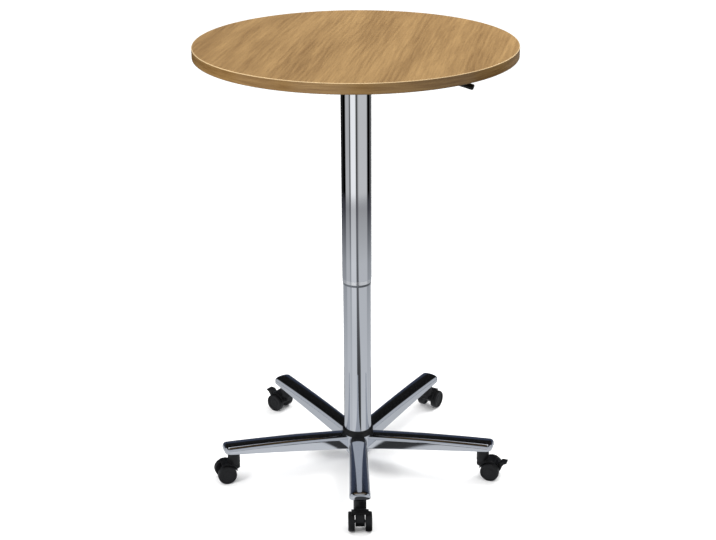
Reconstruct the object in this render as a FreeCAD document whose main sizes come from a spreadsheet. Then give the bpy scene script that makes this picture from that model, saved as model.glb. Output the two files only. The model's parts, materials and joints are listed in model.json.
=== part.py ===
import FreeCAD, Part

# A standing meeting table: a round board on a telescopic chrome column with a gas spring, over a
# five-star base on twin-wheel castors. Millimetres, +Z up. The origin is on the floor on the column's
# axis, the first arm points along -Y, and the column is drawn at its full height.
#
# Every driving size is a cell of the spreadsheet. PLACES names what follows from those sizes, and
# each sketch, length and placement is bound to an expression in these two sets of names.

import math
import os
import re

import Sketcher

SIZES = (
    # the board
    ("table_height", 1150, "floor to the board's upper face, column fully out"),
    ("top_diameter", 800, "across the board, edge band included"),
    ("core_thickness", 24.4, "chipboard core"),
    ("laminate_thickness", 0.8, "laminate on each face of the core"),
    ("edge_thickness", 2, "edge band"),
    ("edge_rounding", 1.6, "rounding of the edge band's two rims"),
    # the steel plate and the casting under the board
    ("plate_side", 240, "square mounting plate"),
    ("plate_thickness", 5, "mounting plate"),
    ("plate_corner", 20, "corner radius of the plate"),
    ("board_screw_ring", 105, "radius of the ring of wood screws"),
    ("board_screw_count", 8, "wood screws"),
    ("board_screw_radius", 2.5, "shank"),
    ("board_screw_depth", 16, "shank inside the board"),
    ("board_screw_head_radius", 5, "head"),
    ("board_screw_head_height", 3, "head"),
    ("casting_height", 62, "head casting"),
    ("casting_cavity_radius", 16, "room for the lever above the taper"),
    ("casting_screw_count", 4, "machine screws"),
    ("casting_screw_ring", 27, "radius of the ring of machine screws"),
    ("casting_screw_radius", 3, "shank"),
    ("casting_screw_depth", 16, "shank inside the casting"),
    ("casting_screw_head_radius", 5.5, "low head, sunk in the plate"),
    ("casting_screw_head_height", 3, "low head"),
    ("tube_screw_count", 3, "radial screws"),
    ("tube_screw_drop", 48, "radial screws below the plate"),
    ("tube_screw_radius", 2.5, "shank"),
    ("tube_screw_depth", 8, "shank inside the casting"),
    ("tube_screw_head_radius", 4.5, "head on the upper tube"),
    ("tube_screw_head_height", 2, "head on the upper tube"),
    # the gas spring
    ("spring_diameter", 28, "cylinder"),
    ("spring_wall", 1.5, "cylinder wall"),
    ("spring_length", 537, "cylinder"),
    ("spring_head", 14, "closed upper end of the cylinder"),
    ("taper_length", 40, "cone in the casting"),
    ("taper_end_diameter", 26, "small end of the cone"),
    ("gland_height", 25, "rod guide in the cylinder's mouth"),
    ("button_radius", 3.5, "release button"),
    ("button_height", 8, "button above the cylinder"),
    ("button_play", 0.1, "button to lever"),
    ("rod_radius", 5, "piston rod"),
    ("rod_tail", 6.5, "rod below the foot plate"),
    ("rod_shoulder_radius", 8, "shoulder on the bearing"),
    ("rod_shoulder_height", 4, "shoulder on the bearing"),
    ("piston_height", 12, "piston"),
    ("piston_play", 0.5, "piston above the gland"),
    ("washer_radius", 12, "bearing washers and cage"),
    ("washer_thickness", 2, "bearing washers"),
    ("cage_height", 4, "ball cage"),
    ("bumper_height", 15, "rubber bumper over the shoulder"),
    ("clip_radius", 9, "retaining clip"),
    ("clip_thickness", 1.5, "retaining clip"),
    ("clip_groove", 1, "depth of the clip's groove in the rod"),
    # the column
    ("upper_tube_diameter", 77, "upper tube"),
    ("upper_tube_wall", 1.2, "upper tube"),
    ("upper_tube_length", 587, "upper tube"),
    ("lower_tube_diameter", 73, "lower tube"),
    ("lower_tube_wall", 2, "lower tube"),
    ("trim_height", 10, "ring at the upper tube's lower end"),
    ("trim_step", 0.4, "ring inside the upper tube's face"),
    ("lip_height", 6, "lower guide bush below the ring"),
    ("lip_step", 0.9, "lip inside the ring's face"),
    ("lower_guide_length", 45, "lower guide bush inside the upper tube"),
    ("upper_guide_length", 40, "upper guide bush on the lower tube"),
    ("guide_spacing", 25, "between the two guide bushes with the column fully out"),
    ("guide_cap", 3, "upper guide bush over the lower tube's end"),
    # the release lever
    ("lever_heading", -18, "direction of the lever, degrees from +X"),
    ("lever_pivot", 27, "pivot pin from the column's axis"),
    ("lever_pin_radius", 3, "pivot pin"),
    ("lever_pin_inset", 1, "pivot pin's ends inside the upper tube"),
    ("lever_bar_height", 8, "flat inner end of the lever"),
    ("lever_bar_width", 12, "flat inner end of the lever"),
    ("lever_bar_end", 34, "flat inner end, from the column's axis"),
    ("lever_nose", 3.5, "rounding of the end on the button"),
    ("lever_slot", 14, "slot for the lever in the casting and the upper tube"),
    ("lever_rod_radius", 3.5, "round outer part of the lever"),
    ("lever_rod_reach", 285, "rod's outer end from the column's axis"),
    ("lever_bend", 48, "bend in the rod from the column's axis"),
    ("lever_bend_radius", 30, "bend in the rod"),
    ("lever_slope", 11.3, "fall of the outer rod, degrees"),
    ("handle_length", 76, "plastic handle"),
    ("handle_cover", 62, "handle over the rod"),
    ("handle_neck_width", 12, "handle at its inner end"),
    ("handle_neck_height", 10.5, "handle at its inner end"),
    ("handle_width", 26, "handle at its outer end"),
    ("handle_height", 15, "handle at its outer end"),
    ("handle_rounding", 4.5, "handle's long edges"),
    # the five-star base
    ("hub_radius", 42, "hub where the arms meet"),
    ("hub_top", 80, "hub's upper face above the floor"),
    ("hub_rim", 1.5, "chamfer of the hub's upper rim"),
    ("hub_skirt_top", 41, "skirt below the arms, its upper end above the floor"),
    ("hub_skirt_bottom", 22, "skirt's lower end above the floor"),
    ("hub_skirt_radius", 35, "skirt at its upper end"),
    ("hub_skirt_foot", 32, "skirt at its lower end"),
    ("hub_recess_radius", 28, "hollow inside the skirt"),
    ("hub_floor_top", 48, "floor that the lower tube stands on"),
    ("hub_floor_thickness", 10, "floor that the lower tube stands on"),
    ("hub_centre_radius", 12, "hole for the clip in the floor"),
    ("collar_height", 14, "black collar on the hub"),
    ("collar_width", 5, "collar's wall"),
    ("collar_rounding", 2, "collar's upper rim"),
    ("foot_plate_thickness", 10, "plate in the lower tube's end"),
    ("foot_screw_ring", 20, "radius of the ring of foot screws"),
    ("foot_screw_count", 3, "foot screws"),
    ("foot_screw_radius", 4, "shank"),
    ("foot_screw_depth", 8, "shank inside the foot plate"),
    ("foot_screw_head_radius", 6.5, "head"),
    ("foot_screw_head_height", 8, "head"),
    ("arm_count", 5, "arms, and a castor under each"),
    ("arm_root", 30, "where the arm's form begins, inside the hub"),
    ("arm_length", 375, "column's axis to the arm's end"),
    ("arm_root_width", 47, "arm at the hub"),
    ("arm_tip_width", 53.5, "arm at its end"),
    ("arm_root_top", 76.5, "upper edges above the floor, at the hub"),
    ("arm_tip_top", 101, "upper edges above the floor, at the end"),
    ("arm_top_bow", 2.8, "upper edges above a straight line, midway"),
    ("arm_root_under", 39.5, "underside above the floor, at the hub"),
    ("arm_tip_under", 85.5, "underside above the floor, at the end"),
    ("arm_under_bow", 1.3, "underside above a straight line, midway"),
    ("arm_crown", 4, "middle of the upper face above its edges"),
    ("arm_crown_radius", 80, "curve across the upper face"),
    ("arm_upper_rounding", 8, "long upper edges"),
    ("arm_lower_rounding", 3, "long lower edges"),
    ("arm_wall", 4.5, "wall of the channel under the arm"),
    ("arm_channel_start", 62, "channel from the column's axis"),
    ("arm_channel_end", 322, "channel from the column's axis"),
    ("arm_tip_bulge", 4, "middle of the arm's end beyond its corners"),
    ("arm_tip_bulge_radius", 70, "curve of the arm's end"),
    ("arm_tip_rounding", 14, "corners of the arm's end"),
    ("arm_tip_clear", 0.4, "cut of the arm's end clear of its flanks"),
    # the castors
    ("castor_inset", 26.5, "stem from the arm's end"),
    ("castor_1_heading", -90, "where castor 1 trails, degrees from +X"),
    ("castor_2_heading", -18, "where castor 2 trails"),
    ("castor_3_heading", 58, "where castor 3 trails"),
    ("castor_4_heading", 142, "where castor 4 trails"),
    ("castor_5_heading", 198, "where castor 5 trails"),
    ("castor_trail", 24, "axle behind the stem"),
    ("wheel_diameter", 50, "wheel"),
    ("wheel_width", 17, "wheel"),
    ("wheel_rounding", 2, "edges of the tread"),
    ("wheel_gap", 26, "between the two wheels"),
    ("wheel_hub_radius", 11, "wheel's inner and outer hub"),
    ("wheel_hub_sink", 2, "outer hub below the rim"),
    ("wheel_rim", 4, "solid rim of the wheel"),
    ("wheel_dish", 3, "depth of the wheel's two dishes"),
    ("axle_radius", 4, "axle"),
    ("axle_length", 48, "axle"),
    ("axle_end_play", 1, "axle's end to the wheel's cap"),
    ("socket_radius", 8, "threaded socket in the arm"),
    ("socket_length", 13, "threaded socket in the arm"),
    ("socket_drop", 1.5, "socket below the arm's underside"),
    ("stem_radius", 5, "stem"),
    ("stem_grip", 12, "stem inside the socket"),
    ("stem_collar_radius", 9, "collar between socket and housing"),
    ("stem_collar_height", 2, "collar between socket and housing"),
    ("stem_pin", 25, "stem inside the housing"),
    ("neck_radius", 16.5, "housing round the stem"),
    ("neck_rounding", 2, "upper rim of the neck"),
    ("neck_gap", 0.8, "neck above the wheels"),
    ("housing_play", 0.3, "housing below the stem's collar"),
    ("web_width", 24, "housing between the wheels"),
    ("web_back", 14, "housing behind the stem"),
    ("web_back_height", 35, "housing behind the stem, above the floor"),
    ("web_hub_radius", 13, "housing round the axle"),
    ("hood_width", 44, "hood over the wheels"),
    ("hood_gap", 1.3, "hood above the wheels"),
    ("hood_thickness", 3.7, "hood"),
    ("hood_front", 65, "hood's outer end round the axle, degrees from level"),
    ("hood_back", 168, "hood's inner end round the axle, degrees from level"),
    # the brake pedals
    ("pedal_pivot_out", 14, "pedal's pivot beyond the axle"),
    ("pedal_pivot_up", 15, "pedal's pivot above the axle"),
    ("pedal_pin_radius", 2.5, "pedal's pivot"),
    ("pedal_ear_radius", 6, "housing round the pedal's pivot"),
    ("pedal_eye_radius", 4.5, "pedal round its pivot"),
    ("pedal_tongue_width", 9.4, "pedal between the ears"),
    ("pedal_width", 23, "pedal outside the ears"),
    ("pedal_side_play", 0.3, "pedal to housing"),
    ("pedal_heel_out", 8, "pedal's heel beyond its pivot"),
    ("pedal_heel_drop", 9, "pedal's heel below its pivot"),
    ("pedal_sole_out", 13, "end of the heel beyond the pivot"),
    ("pedal_sole_drop", 7, "end of the heel below the pivot"),
    ("pedal_toe_out", 21, "start of the toe beyond the pivot"),
    ("pedal_toe_rise", 5, "start of the toe above the pivot"),
    ("pedal_tip_out", 29, "pedal's tip beyond its pivot"),
    ("pedal_tip_rise", 9, "pedal's tip above its pivot"),
    ("pedal_tip_thickness", 2.5, "pedal's tip"),
    # fits
    ("slip_fit", 0.05, "radial clearance of what turns, slides or is pushed in"),
    ("screw_fit", 0.3, "radial clearance of a screw in its through hole"),
    ("seat_gap", 0.3, "clip to foot plate, washer to housing"),
)

PLACES = {
    # the board and what hangs under it
    "board_thickness": "core_thickness + 2 * laminate_thickness",
    "board_underside": "table_height - board_thickness",
    "core_underside": "board_underside + laminate_thickness",
    "core_radius": "top_diameter / 2 - edge_thickness",
    "plate_underside": "board_underside - plate_thickness",
    "casting_foot": "plate_underside - casting_height",
    "tube_screw_height": "plate_underside - tube_screw_drop",
    "casting_screw_turn": "180 / casting_screw_count",
    "casting_screw_heading": "lever_heading + casting_screw_turn",
    # the gas spring, from its taper downwards
    "spring_radius": "spring_diameter / 2",
    "spring_inner": "spring_radius - spring_wall",
    "spring_top": "casting_foot + taper_length",
    "spring_foot": "spring_top - spring_length",
    "gland_top": "spring_foot + gland_height",
    "piston_foot": "gland_top + piston_play",
    "button_top": "spring_top + button_height",
    # the column
    "upper_tube_radius": "upper_tube_diameter / 2",
    "upper_tube_inner": "upper_tube_radius - upper_tube_wall",
    "upper_tube_foot": "plate_underside - upper_tube_length",
    "lower_tube_radius": "lower_tube_diameter / 2",
    "lower_tube_inner": "lower_tube_radius - lower_tube_wall",
    "tube_overlap": "lower_guide_length + guide_spacing + upper_guide_length",
    "lower_tube_top": "upper_tube_foot + tube_overlap",
    "guide_inner": "lower_tube_radius + slip_fit",
    "guide_outer": "upper_tube_inner - slip_fit",
    "trim_radius": "upper_tube_radius - trim_step",
    "trim_foot": "upper_tube_foot - trim_height",
    "lip_foot": "trim_foot - lip_height",
    # the stack at the foot of the column
    "hub_floor_bottom": "hub_floor_top - hub_floor_thickness",
    "foot_plate_top": "hub_floor_top + foot_plate_thickness",
    "cage_foot": "foot_plate_top + washer_thickness",
    "cage_top": "cage_foot + cage_height",
    "shoulder_foot": "cage_top + washer_thickness",
    "shoulder_top": "shoulder_foot + rod_shoulder_height",
    "clip_top": "hub_floor_top - seat_gap",
    "clip_foot": "clip_top - clip_thickness",
    "rod_foot": "hub_floor_top - rod_tail",
    "rod_bore": "rod_radius + slip_fit",
    # the lever
    "lever_pin_edge": "lever_pivot + lever_pin_radius",
    "lever_pin_length": "2 * (sqrt(upper_tube_inner ^ 2 - lever_pin_edge ^ 2) - lever_pin_inset)",
    "lever_height": "button_top + button_play + lever_bar_height / 2",
    "handle_start": "lever_rod_reach - handle_cover",
    # the castors
    "arm_step": "360 / arm_count",
    "stem_reach": "arm_length - castor_inset",
    "wheel_radius": "wheel_diameter / 2",
    "wheel_inner_face": "wheel_gap / 2",
    "wheel_outer_face": "wheel_inner_face + wheel_width",
    "axle_bore": "axle_radius + slip_fit",
    "wheel_bore_end": "axle_length / 2 + axle_end_play",
    "hood_inner": "wheel_radius + hood_gap",
    "hood_outer": "hood_inner + hood_thickness",
    "hood_middle": "hood_inner + hood_thickness / 2",
    "socket_foot": "stem_arm_under - socket_drop",
    "collar_foot": "socket_foot - stem_collar_height",
    "neck_top": "collar_foot - housing_play",
    "neck_foot": "wheel_diameter + neck_gap",
    "stem_foot": "collar_foot - stem_pin",
    "pedal_pivot_x": "castor_trail + pedal_pivot_out",
    "pedal_pivot_z": "wheel_radius + pedal_pivot_up",
    "pedal_slot_width": "pedal_tongue_width + 2 * pedal_side_play",
}

WORD = re.compile(r"[a-z]\w*")
BRAKED = (2, 4)

doc = FreeCAD.newDocument("StandingMeetingTable")
sheet = doc.addObject("Spreadsheet::Sheet", "Sizes")
for row, (alias, size, note) in enumerate(SIZES, start=1):
    sheet.set(f"A{row}", alias)
    sheet.set(f"B{row}", str(size))
    sheet.setAlias(f"B{row}", alias)
    sheet.set(f"C{row}", note)
doc.recompute()

SIZE_NAMES = {alias for alias, size, note in SIZES}
pieces = []


def along_arm(root, tip, reach, bow="0"):
    """A width or height of the arm at a distance from the column's axis, with its bow midway."""
    share = f"(({reach}) - arm_root) / (arm_length - arm_root)"
    return f"{root} + ({tip} - {root}) * {share} + 4 * {bow} * {share} * (1 - {share})"


def arm_width(reach):
    return along_arm("arm_root_width", "arm_tip_width", reach)


def arm_top(reach):
    return along_arm("arm_root_top", "arm_tip_top", reach, "arm_top_bow")


def arm_under(reach):
    return along_arm("arm_root_under", "arm_tip_under", reach, "arm_under_bow")


PLACES["stem_arm_under"] = arm_under("stem_reach")


def bound(text):
    """The expression with each place written out and each size read from the sheet."""
    def swap(found):
        word = found.group()
        if word in PLACES:
            return f"({bound(PLACES[word])})"
        if word in SIZE_NAMES:
            return f"Sizes.{word}"
        return word
    return WORD.sub(swap, str(text))


def value(text):
    """The present number of an expression."""
    return float(sheet.evalExpression(bound(text)))


def plane(body, role):
    """One of the body's own origin planes or axes."""
    return next(feature for feature in body.Origin.OriginFeatures if feature.Role == role)


def place(body, out="0", side="0", up="0", turn="0", tilt="0"):
    """Put a body where three expressions say, turned about Z and tilted about its own Y."""
    body.setExpression(
        "Placement",
        f"create(<<placement>>; create(<<vector>>; {bound(out)}; {bound(side)}; {bound(up)}); "
        f"create(<<rotation>>; {bound(turn)}; {bound(tilt)}; 0))",
    )


def new_piece(name):
    """A body that becomes one file of its own name."""
    body = doc.addObject("PartDesign::Body", name)
    body.Label = name
    pieces.append(body)
    return body


def new_sketch(body, role="XZ_Plane", lift="0"):
    """A sketch on one of the body's planes, lifted along the plane's normal."""
    sketch = body.newObject("Sketcher::SketchObject", f"{body.Name}_sketch")
    sketch.AttachmentSupport = [(plane(body, role), "")]
    sketch.MapMode = "FlatFace"
    sketch.setExpression("AttachmentOffset.Base.z", bound(lift))
    return sketch


def hold(sketch, kind, *where):
    """Add a driven distance or radius; the last entry of where is its expression."""
    *where, text = where
    number = sketch.addConstraint(Sketcher.Constraint(kind, *where, value(text)))
    sketch.setExpression(f"Constraints[{number}]", bound(text))


def hold_point(sketch, item, end, out, up):
    """Tie a point of the sketch to two expressions, measured from the sketch's origin."""
    hold(sketch, "DistanceX", -1, 1, item, end, out)
    hold(sketch, "DistanceY", -1, 1, item, end, up)


def corner_arc(before, corner, after, radius):
    """The two tangent points and the centre of a rounding at a corner."""
    back = (before - corner).normalize()
    ahead = (after - corner).normalize()
    half = back.getAngle(ahead) / 2
    cut = radius / math.tan(half)
    middle = (back + ahead).normalize() * (radius / math.sin(half))
    return corner + back * cut, corner + ahead * cut, corner + middle


def outline(sketch, corners, closed=True):
    """Straight runs through corners (out, up) or (out, up, radius), rounded where a radius is given."""
    spots = [FreeCAD.Vector(value(c[0]), value(c[1]), 0) for c in corners]
    count = len(spots)
    inner = range(count) if closed else range(1, count - 1)
    starts = list(spots)
    ends = list(spots)
    arcs = {}
    for i in inner:
        if len(corners[i]) == 3:
            after = spots[(i + 1) % count]
            ends[i], starts[i], arcs[i] = corner_arc(spots[i - 1], spots[i], after, value(corners[i][2]))
    runs = count if closed else count - 1
    lines = [
        sketch.addGeometry(Part.LineSegment(starts[i], ends[(i + 1) % count]))
        for i in range(runs)
    ]
    for i in range(count):
        if i in arcs:
            round_corner(sketch, lines[i - 1], lines[i], arcs[i], ends[i], starts[i], spots[i], corners[i])
        elif i in inner:
            sketch.addConstraint(Sketcher.Constraint("Coincident", lines[i - 1], 2, lines[i], 1))
            hold_point(sketch, lines[i], 1, corners[i][0], corners[i][1])
    if not closed:
        hold_point(sketch, lines[0], 1, corners[0][0], corners[0][1])
        hold_point(sketch, lines[-1], 2, corners[-1][0], corners[-1][1])
    return sketch


def round_corner(sketch, line_in, line_out, centre, first, second, spot, corner):
    """A tangent arc between two lines, and a construction point where the lines would meet."""
    radius = (first - centre).Length
    circle = Part.Circle(centre, FreeCAD.Vector(0, 0, 1), radius)
    from_angle, to_angle = circle.parameter(first), circle.parameter(second)
    clockwise = (first - spot).cross(second - spot).z > 0
    if clockwise:
        from_angle, to_angle = to_angle, from_angle
    arc = sketch.addGeometry(Part.ArcOfCircle(circle, from_angle, to_angle))
    point = sketch.addGeometry(Part.Point(spot), True)
    start, end = (2, 1) if clockwise else (1, 2)
    sketch.addConstraint(Sketcher.Constraint("Tangent", line_in, 2, arc, start))
    sketch.addConstraint(Sketcher.Constraint("Tangent", arc, end, line_out, 1))
    sketch.addConstraint(Sketcher.Constraint("PointOnObject", point, 1, line_in))
    sketch.addConstraint(Sketcher.Constraint("PointOnObject", point, 1, line_out))
    hold_point(sketch, point, 1, corner[0], corner[1])
    hold(sketch, "Radius", arc, corner[2])


def circles(sketch, *rings):
    """Circles, each (out, up, radius)."""
    for out, up, radius in rings:
        centre = FreeCAD.Vector(value(out), value(up), 0)
        item = sketch.addGeometry(Part.Circle(centre, FreeCAD.Vector(0, 0, 1), value(radius)))
        hold_point(sketch, item, 3, out, up)
        hold(sketch, "Radius", item, radius)
    return sketch


def add_feature(body, kind, profile, length=None, both_ways=False):
    """A sketch-based feature; a length is an expression, and no length cuts through everything."""
    feature = body.newObject(f"PartDesign::{kind}", f"{body.Name}_{kind}")
    feature.Profile = profile
    if length is not None:
        feature.setExpression("Length", bound(length))
    elif kind == "Pocket":
        feature.Type = "ThroughAll"
    feature.Midplane = both_ways
    return feature


def turned(body, corners, kind="Revolution", role="XZ_Plane"):
    """A full turn of an outline about the sketch's upright axis."""
    sketch = outline(new_sketch(body, role), corners)
    feature = body.newObject(f"PartDesign::{kind}", f"{body.Name}_{kind}")
    feature.Profile = sketch
    feature.ReferenceAxis = (sketch, ["V_Axis"])
    feature.Angle = 360
    return feature


def drill(body, top, depth, *rings):
    """Round holes from a height downwards."""
    return add_feature(body, "Pocket", circles(new_sketch(body, "XY_Plane", top), *rings), depth)


def ring_of(body, features, count):
    """Repeat features evenly round the body's own Z axis."""
    pattern = body.newObject("PartDesign::PolarPattern", f"{body.Name}_ring")
    pattern.Originals = features
    pattern.Axis = (plane(body, "Z_Axis"), [""])
    pattern.Angle = 360
    pattern.setExpression("Occurrences", bound(count))
    body.Tip = pattern
    return pattern


def round_rims(body, radius, *rims):
    """Round the full circles about Z, each given by its radius and height."""
    doc.recompute()
    solid = body.Tip
    wanted = [(value(reach), value(up)) for reach, up in rims]
    names = []
    for number, edge in enumerate(solid.Shape.Edges, start=1):
        curve = edge.Curve
        if not isinstance(curve, Part.Circle):
            continue
        if any(abs(curve.Radius - reach) + abs(curve.Center.z - up) < 1e-4 for reach, up in wanted):
            names.append(f"Edge{number}")
    fillet = body.newObject("PartDesign::Fillet", f"{body.Name}_rims")
    fillet.Base = (solid, names)
    fillet.setExpression("Radius", bound(radius))
    return fillet


def tube_corners(inner, outer, foot, top):
    return [(inner, foot), (outer, foot), (outer, top), (inner, top)]


def upright_screws(name, ring, count, seat, head_below, head, shank, turn="0"):
    """A ring of upright screws; seat is the head's bearing face, and the shank goes up or down."""
    head_radius, head_height = head
    shank_radius, shank_length = shank
    body = new_piece(name)
    head_sketch = circles(new_sketch(body, "XY_Plane", seat), (ring, "0", head_radius))
    head_pad = add_feature(body, "Pad", head_sketch, head_height)
    head_pad.Reversed = head_below
    shank_sketch = circles(new_sketch(body, "XY_Plane", seat), (ring, "0", shank_radius))
    shank_pad = add_feature(body, "Pad", shank_sketch, shank_length)
    shank_pad.Reversed = not head_below
    ring_of(body, [head_pad, shank_pad], count)
    place(body, turn=turn)
    return body


# ---- the board ----

def make_board():
    core = new_piece("tabletop_core")
    turned(core, tube_corners("0", "core_radius", "core_underside", "table_height - laminate_thickness"))
    pilot = ("board_screw_ring", "0", "board_screw_radius + slip_fit")
    hole = drill(core, "board_underside + board_screw_depth + slip_fit", "board_screw_depth", pilot)
    ring_of(core, [hole], "board_screw_count")

    top = new_piece("top_laminate")
    turned(top, tube_corners("0", "core_radius", "table_height - laminate_thickness", "table_height"))

    backing = new_piece("backing_laminate")
    turned(backing, tube_corners("0", "core_radius", "board_underside", "core_underside"))
    hole = drill(backing, "core_underside + slip_fit", "board_thickness", pilot)
    ring_of(backing, [hole], "board_screw_count")

    band = new_piece("edge_band")
    turned(band, tube_corners("core_radius", "top_diameter / 2", "board_underside", "table_height"))
    round_rims(
        band,
        "edge_rounding",
        ("top_diameter / 2", "board_underside"),
        ("top_diameter / 2", "table_height"),
    )


# ---- the plate and the casting ----

def make_mounting_plate():
    plate = new_piece("mounting_plate")
    side = "plate_side / 2"
    signs = (("-", "-"), ("", "-"), ("", ""), ("-", ""))
    corners = [(f"{x}{side}", f"{y}{side}", "plate_corner") for x, y in signs]
    section = outline(new_sketch(plate, "XY_Plane", "plate_underside"), corners)
    add_feature(plate, "Pad", section, "plate_thickness")
    wood_hole = drill(
        plate,
        "board_underside",
        "plate_thickness",
        ("board_screw_ring", "0", "board_screw_radius + screw_fit"),
    )
    ring_of(plate, [wood_hole], "board_screw_count")
    out = "casting_screw_ring * cos(casting_screw_heading)"
    aside = "casting_screw_ring * sin(casting_screw_heading)"
    through = drill(
        plate,
        "board_underside",
        "plate_thickness",
        (out, aside, "casting_screw_radius + screw_fit"),
    )
    sunk = drill(
        plate,
        "board_underside",
        "casting_screw_head_height",
        (out, aside, "casting_screw_head_radius + screw_fit"),
    )
    ring_of(plate, [through, sunk], "casting_screw_count")


def make_head_screws():
    upright_screws(
        "board_screws",
        "board_screw_ring",
        "board_screw_count",
        "plate_underside",
        True,
        ("board_screw_head_radius", "board_screw_head_height"),
        ("board_screw_radius", "plate_thickness + board_screw_depth"),
    )
    upright_screws(
        "casting_screws",
        "casting_screw_ring",
        "casting_screw_count",
        "board_underside - casting_screw_head_height",
        False,
        ("casting_screw_head_radius", "casting_screw_head_height"),
        ("casting_screw_radius", "plate_thickness - casting_screw_head_height + casting_screw_depth"),
        "casting_screw_heading",
    )


def make_head_casting():
    """A plug in the upper tube: taper for the gas spring, cavity and slot for the lever."""
    casting = new_piece("head_casting")
    mouth = "spring_radius + slip_fit"
    throat = "taper_end_diameter / 2 + slip_fit"
    turned(
        casting,
        [
            (mouth, "casting_foot"),
            ("guide_outer", "casting_foot"),
            ("guide_outer", "plate_underside"),
            ("casting_cavity_radius", "plate_underside"),
            ("casting_cavity_radius", "spring_top"),
            (throat, "spring_top"),
        ],
    )
    cut_lever_slot(casting)
    pin = ("lever_pivot", "lever_height", "lever_pin_radius + slip_fit")
    bore = circles(new_sketch(casting), pin)
    add_feature(casting, "Pocket", bore, "lever_pin_length + 2 * slip_fit", both_ways=True)
    screw = (
        "casting_screw_ring * cos(casting_screw_turn)",
        "casting_screw_ring * sin(casting_screw_turn)",
        "casting_screw_radius + slip_fit",
    )
    thread = drill(casting, "plate_underside", "casting_screw_depth + slip_fit", screw)
    ring_of(casting, [thread], "casting_screw_count")
    start = "upper_tube_inner - tube_screw_depth - slip_fit"
    radial = radial_pocket(casting, "tube_screw_radius + slip_fit", start)
    ring_of(casting, [radial], "tube_screw_count")
    place(casting, turn="lever_heading")


def cut_lever_slot(body):
    """The slot that the lever comes out through, from the plate down to the gas spring's end."""
    side = "lever_slot / 2"
    corners = [
        ("0", f"-{side}"),
        ("upper_tube_diameter", f"-{side}"),
        ("upper_tube_diameter", side),
        ("0", side),
    ]
    section = outline(new_sketch(body, "XY_Plane", "plate_underside"), corners)
    add_feature(body, "Pocket", section, "plate_underside - spring_top")


def radial_pocket(body, radius, start):
    """A level hole opposite the lever, from a distance outwards."""
    sketch = circles(new_sketch(body, "YZ_Plane", f"-({start})"), ("0", "tube_screw_height", radius))
    return add_feature(body, "Pocket", sketch, "upper_tube_radius")


def make_tube_screws():
    screws = new_piece("tube_screws")
    seat = new_sketch(screws, "YZ_Plane", "-upper_tube_radius")
    head = add_feature(
        screws,
        "Pad",
        circles(seat, ("0", "tube_screw_height", "tube_screw_head_radius")),
        "tube_screw_head_height",
    )
    head.Reversed = True
    seat = new_sketch(screws, "YZ_Plane", "-upper_tube_radius")
    shank = add_feature(
        screws,
        "Pad",
        circles(seat, ("0", "tube_screw_height", "tube_screw_radius")),
        "upper_tube_wall + tube_screw_depth",
    )
    ring_of(screws, [head, shank], "tube_screw_count")
    place(screws, turn="lever_heading")


# ---- the gas spring ----

def make_gas_spring():
    cylinder = new_piece("gas_cylinder")
    turned(
        cylinder,
        [
            ("spring_inner", "spring_foot"),
            ("spring_radius", "spring_foot"),
            ("spring_radius", "casting_foot"),
            ("taper_end_diameter / 2", "spring_top"),
            ("button_radius + slip_fit", "spring_top"),
            ("button_radius + slip_fit", "spring_top - spring_head"),
            ("spring_inner", "spring_top - spring_head"),
        ],
    )

    gland = new_piece("cylinder_gland")
    turned(gland, tube_corners("rod_bore", "spring_inner - slip_fit", "spring_foot", "gland_top"))

    button = new_piece("release_button")
    turned(button, tube_corners("0", "button_radius", "spring_top - spring_head", "button_top"))

    rod = new_piece("piston_rod")
    neck = "rod_radius - clip_groove"
    turned(
        rod,
        [
            ("0", "rod_foot"),
            ("rod_radius", "rod_foot"),
            ("rod_radius", "clip_foot - slip_fit"),
            (neck, "clip_foot - slip_fit"),
            (neck, "clip_top + slip_fit"),
            ("rod_radius", "clip_top + slip_fit"),
            ("rod_radius", "shoulder_foot"),
            ("rod_shoulder_radius", "shoulder_foot"),
            ("rod_shoulder_radius", "shoulder_top"),
            ("rod_radius", "shoulder_top"),
            ("rod_radius", "piston_foot"),
            ("spring_inner - slip_fit", "piston_foot"),
            ("spring_inner - slip_fit", "piston_foot + piston_height"),
            ("0", "piston_foot + piston_height"),
        ],
    )

    clip = new_piece("retaining_clip")
    turned(clip, tube_corners(f"{neck} + slip_fit", "clip_radius", "clip_foot", "clip_top"))


def make_thrust_bearing():
    for name, foot, height in (
        ("bearing_lower_washer", "foot_plate_top", "washer_thickness"),
        ("bearing_ball_cage", "cage_foot", "cage_height"),
        ("bearing_upper_washer", "cage_top", "washer_thickness"),
        ("rod_bumper", "shoulder_top", "bumper_height"),
    ):
        ring = new_piece(name)
        turned(ring, tube_corners("rod_bore", "washer_radius", foot, f"{foot} + {height}"))


# ---- the column ----

def make_upper_tube():
    tube = new_piece("upper_tube")
    wall = tube_corners("upper_tube_inner", "upper_tube_radius", "upper_tube_foot", "plate_underside")
    turned(tube, wall)
    cut_lever_slot(tube)
    radial = radial_pocket(tube, "tube_screw_radius + screw_fit", "lower_tube_inner")
    ring_of(tube, [radial], "tube_screw_count")
    place(tube, turn="lever_heading")

    trim = new_piece("trim_ring")
    turned(trim, tube_corners("guide_outer + slip_fit", "trim_radius", "trim_foot", "upper_tube_foot"))

    guide = new_piece("lower_guide")
    turned(
        guide,
        [
            ("guide_inner", "lip_foot"),
            ("trim_radius - lip_step", "lip_foot"),
            ("trim_radius - lip_step", "trim_foot"),
            ("guide_outer", "trim_foot"),
            ("guide_outer", "upper_tube_foot + lower_guide_length"),
            ("guide_inner", "upper_tube_foot + lower_guide_length"),
        ],
    )


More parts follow.
